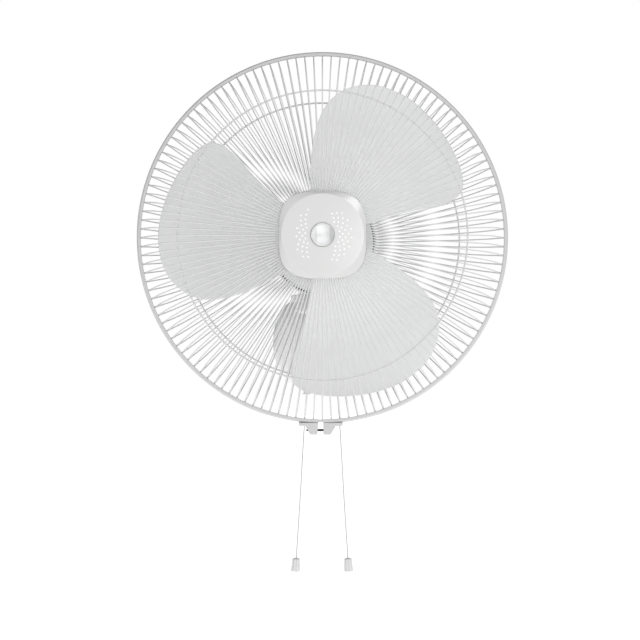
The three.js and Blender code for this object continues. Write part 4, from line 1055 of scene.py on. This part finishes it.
piece("base_tray", tray, "wall_base", "satin", "base_rear_shell", sharp=36)

outline = [(x, z) for x, _, z in oval(56, 58, 0, segs=128)]
sheet = prism(outline, -2.5, 0, "xz", 0.3, 2)
ways = []
for s in (-32, 32):
    ways.append(rod(5, -4, 1, 48).move(x=s, z=16))
    ways.append(prism([(s - 2.5, 16), (s + 2.5, 16)] + circle(s, 28, 2.5, 16, 0, 180), -4, 1, "xz"))
ways.append(rod(2.6, -4, 1, 40).move(z=-44))
sheet = cut(sheet, *ways)


def hook(z0, s):
    a, b, c = sorted((z0, z0 + 2.5 * s)), sorted((z0, z0 + 7 * s)), 0
    leg = [(-2, a[0]), (-12, a[0]), (-12, a[1]), (-2, a[1])]
    tip = [(-9.9, b[0]), (-12, b[0]), (-12, b[1]), (-9.9, b[1])]
    return [prism(fillet(leg, 0.3, 2), -9, 9, "yz", 0.25, 1), prism(fillet(tip, 0.5, 2), -9, 9, "yz", 0.25, 1)]


sheet = join(sheet, *hook(44, 1), *hook(-36, -1))
piece("wall_plate_fine", sheet, "wall_base", "zinc", "wall_plate", sharp=32)
for i, (x, z) in enumerate(POSTS):
    screw = join(thread(1.25, 1.0, -42, -7.5, 0.9, 20, "y"), lathe(fillet([(0, -6.3), (3.2, -6.3), (3.2, -7.7), (0, -7.7)], [0, 0.7, 0.2, 0], 3, closed=False), 40))
    screw = cut(screw, block(-2.0, 2.0, -7.0, -5.8, -0.38, 0.38), block(-0.38, 0.38, -7.0, -5.8, -2.0, 2.0))
    piece(f"base_screw_{i + 1}_fine", screw.move(x=x, y=0.95, z=z), "wall_base", "steel", f"base_cover_screw_{i + 1}")

board = (block(-40, 40, -16, -14.4, -8, 32, 0.2, 1) + block(-34, -18, -30, -16.2, 4, 18, 0.6) + block(-12, 4, -24, -16.2, 0, 10, 0.5)
         + block(12, 32, -22, -16.2, 16, 28, 0.5) + block(16, 30, -26, -16.2, -4, 8, 0.7)
         + rod(3.6, -27, -16.2, 32, edge=0.4).move(x=-2, z=22) + rod(2.6, -23, -16.2, 32, edge=0.3).move(x=-12, z=24)
         + lathe(fillet([(2.2, -20), (4.6, -20), (4.6, -16.2), (2.2, -16.2)], 0.6, 2), 40).move(x=36, z=2))
for k in range(8):
    board = board + rod(0.55, -16.9, -13.4, 12).move(x=-32 + 5.2 * k, z=-5)


def on_board(c, n):
    if c.y > -16.15:
        return 0
    if c.x < -17 and c.z < 19:
        return 1
    if c.x > 11 and c.z > 15:
        return 2
    return 3 if c.x > 33 or (-6 < c.x < 2 and c.z > 17) else 1


piece("board_fine", board, "wall_base", ["board", "black", "grey", "copper"], "control_board", sharp=32, pick=on_board)
for word, s in (("speed", -1), ("swing", 1)):
    cx = s * 21.5
    case = join(block(cx - 10.5, cx + 10.5, -51, -29, -47, -27, 0.8, 3), rod(6, -51, -29, 64, edge=0.5).move(x=cx, z=-46.8), block(cx - 7, cx + 7, -44, -36, -27.5, -21, 0.4))
    case = cut(case, block(cx - 4.4, cx + 4.4, -42.5, -37.5, -56, -42.2))
    case = cut(case, *[block(cx - 12, cx + 12, -51.4, -50.3, z, z + 0.8) for z in (-44, -41, -38)])
    piece(f"{word}_switch_fine", case, "wall_base", "black", f"{word}_switch", sharp=32)
can = prism(fillet([(-24, 40), (12, 40), (12, 54), (-24, 54)], 3, 5), -34, -18.5, "xz", 0.8, 2)
can = join(can, *[prism(fillet([(x, 45), (x + 4, 45), (x + 4, 49), (x, 49)], 0.5, 2), -36, -33, "xz") for x in (-20, 4)])
piece("capacitor_fine", can, "wall_base", "grey", "motor_capacitor", sharp=32)
terminals = cut(block(28, 56, -30, -18, -24, -12, 0.5, 2), *[block(x, x + 5.5, -28, -21, -30, -9) for x in (30.5, 39.3, 48)])
for x in (33.25, 42.05, 50.75):
    terminals = terminals + lathe(fillet([(0, -30.0), (1.7, -30.0), (1.7, -28.9), (0, -28.9)], [0, 0.3, 0.1, 0], 2, closed=False), 24).move(x=x, z=-18)
piece("terminals_fine", terminals, "wall_base", "satin", "terminal_block", sharp=32)
lens = lathe(fillet([(0, -62.6), (5.5, -62.4), (7, -61.6), (7, -58.2), (9.5, -58.2), (9.5, -57.2), (0, -57.2)], [0, 2.5, 0.6, 0.2, 0.3, 0.3, 0], 4, closed=False), 80).move(z=-25)
piece("receiver_fine", lens, "wall_base", "lens", "receiver_window", sharp=40)
for word, s in (("left", -1), ("right", 1)):
    g = lathe(fillet([(2, -60), (4.05, -60), (4.05, -69.4), (5.8, -69.4), (5.8, -70.2), (4.7, -71.3), (3.2, -71.3), (2, -70.3)], [0.2, 0.4, 0.15, 0.35, 0.5, 0.5, 0.5, 0.5], 4), 72, "z").move(x=s * 21.5, y=-40)
    piece(f"grommet_{word}_fine", g, "wall_base", "satin", f"cord_grommet_{word}", sharp=40)
gland = lathe(fillet([(3.2, -56), (4.7, -56), (4.7, -69.9), (7, -69.9), (7, -71.4), (5.6, -72.2), (5.6, -72.8), (5, -73.4), (3.2, -73.4)], [0.2, 0.4, 0.15, 0.5, 0.4, 0.2, 0.2, 0.3, 0.3], 3), 72, "z").move(x=22, y=-17)
piece("gland_fine", gland, "wall_base", "black", "power_gland", sharp=40)
for word in ("speed", "swing"):
    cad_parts[f"{word}_pull_eye"].data.materials.clear()
    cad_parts[f"{word}_pull_eye"].data.materials.append(M["steel"])

# ------------------------------------------------------------------ studio
floor_mat = bpy.data.materials.new("floor_pale")
floor_mat.use_nodes = True
nt = floor_mat.node_tree
fb = nt.nodes["Principled BSDF"]
fco = nt.nodes.new("ShaderNodeTexCoord").outputs["Object"]
nt.links.new(mix_colour(nt, ramp(nt, noise(nt, fco, 3.0), 0.3, 0.7), (0.90, 0.90, 0.90), (0.93, 0.93, 0.93)), fb.inputs["Base Color"])
fb.inputs["Roughness"].default_value = 0.9
fb.inputs["Emission Color"].default_value = (1, 1, 1, 1)
fb.inputs["Emission Strength"].default_value = 0.8
me = bpy.data.meshes.new("floor")
me.from_pydata([(-14, -14, -1.15), (14, -14, -1.15), (14, 14, -1.15), (-14, 14, -1.15)], [], [(0, 1, 2, 3)])
floor = bpy.data.objects.new("floor", me)
me.materials.append(floor_mat)
scene.collection.objects.link(floor)

world = bpy.data.worlds.new("studio")
scene.world = world
world.use_nodes = True
nt = world.node_tree
nt.nodes.clear()
way = nt.nodes.new("ShaderNodeTexCoord").outputs["Generated"]
sep = nt.nodes.new("ShaderNodeSeparateXYZ")
nt.links.new(way, sep.inputs[0])
AMBIENT, FROM_FRONT, FROM_RIGHT, FROM_ABOVE, FROM_BELOW, FROM_LEFT = 0.66, 0.565, 0.52, -0.40, 0.12, -0.34


def share(axis, sign, weight, power):
    """Light that grows towards one side of the room."""
    v = math_node(nt, "MAXIMUM", math_node(nt, "MULTIPLY", sep.outputs[axis], float(sign)), 0.0)
    return math_node(nt, "MULTIPLY", math_node(nt, "POWER", v, power), weight)


glow = math_node(nt, "ADD", math_node(nt, "MULTIPLY", sep.outputs[1], -FROM_FRONT), AMBIENT)
glow = math_node(nt, "ADD", glow, share(0, 1, FROM_RIGHT, 2.0))
glow = math_node(nt, "ADD", glow, share(2, 1, FROM_ABOVE, 1.0))
glow = math_node(nt, "ADD", glow, share(2, -1, FROM_BELOW, 1.0))
glow = math_node(nt, "ADD", glow, share(0, -1, FROM_LEFT, 2.0))
glow = math_node(nt, "MAXIMUM", glow, 0.22)
soft = nt.nodes.new("ShaderNodeBackground")
soft.inputs["Color"].default_value = (1, 1, 1, 1)
nt.links.new(glow, soft.inputs["Strength"])
plain = nt.nodes.new("ShaderNodeBackground")
plain.inputs["Color"].default_value = (1, 1, 1, 1)
plain.inputs["Strength"].default_value = 1.0
pick_node = nt.nodes.new("ShaderNodeMixShader")
nt.links.new(nt.nodes.new("ShaderNodeLightPath").outputs["Is Camera Ray"], pick_node.inputs[0])
nt.links.new(soft.outputs[0], pick_node.inputs[1])
nt.links.new(plain.outputs[0], pick_node.inputs[2])
w_out = nt.nodes.new("ShaderNodeOutputWorld")
nt.links.new(pick_node.outputs[0], w_out.inputs[0])


def area_light(name, place, target, size, watts, diffuse=True):
    data = bpy.data.lights.new(name, "AREA")
    data.shape = "DISK"
    data.size = size
    data.energy = watts
    ob = bpy.data.objects.new(name, data)
    ob.location = place
    ob.rotation_euler = (Vector(target) - Vector(place)).to_track_quat("-Z", "Y").to_euler()
    ob.visible_diffuse = diffuse
    scene.collection.objects.link(ob)
    return ob


area_light("right_gloss", (0.44, -1.95, 0.14), (0.0, -0.30, 0.131), 0.66, 4.6, diffuse=False)
area_light("upper_right_gloss", (0.72, -1.45, 0.96), (0.0, -0.30, 0.131), 0.55, 5.0, diffuse=False)
strip = area_light("left_strip_gloss", (-0.56, -1.80, 0.131), (0.0, -0.30, 0.131), 0.10, 2.2, diffuse=False)
strip.data.shape = "RECTANGLE"
strip.data.size_y = 1.5
scene.view_settings.view_transform = "Standard"
scene.view_settings.look = "None"
scene.view_settings.exposure = 0.0
scene.view_settings.gamma = 1.0
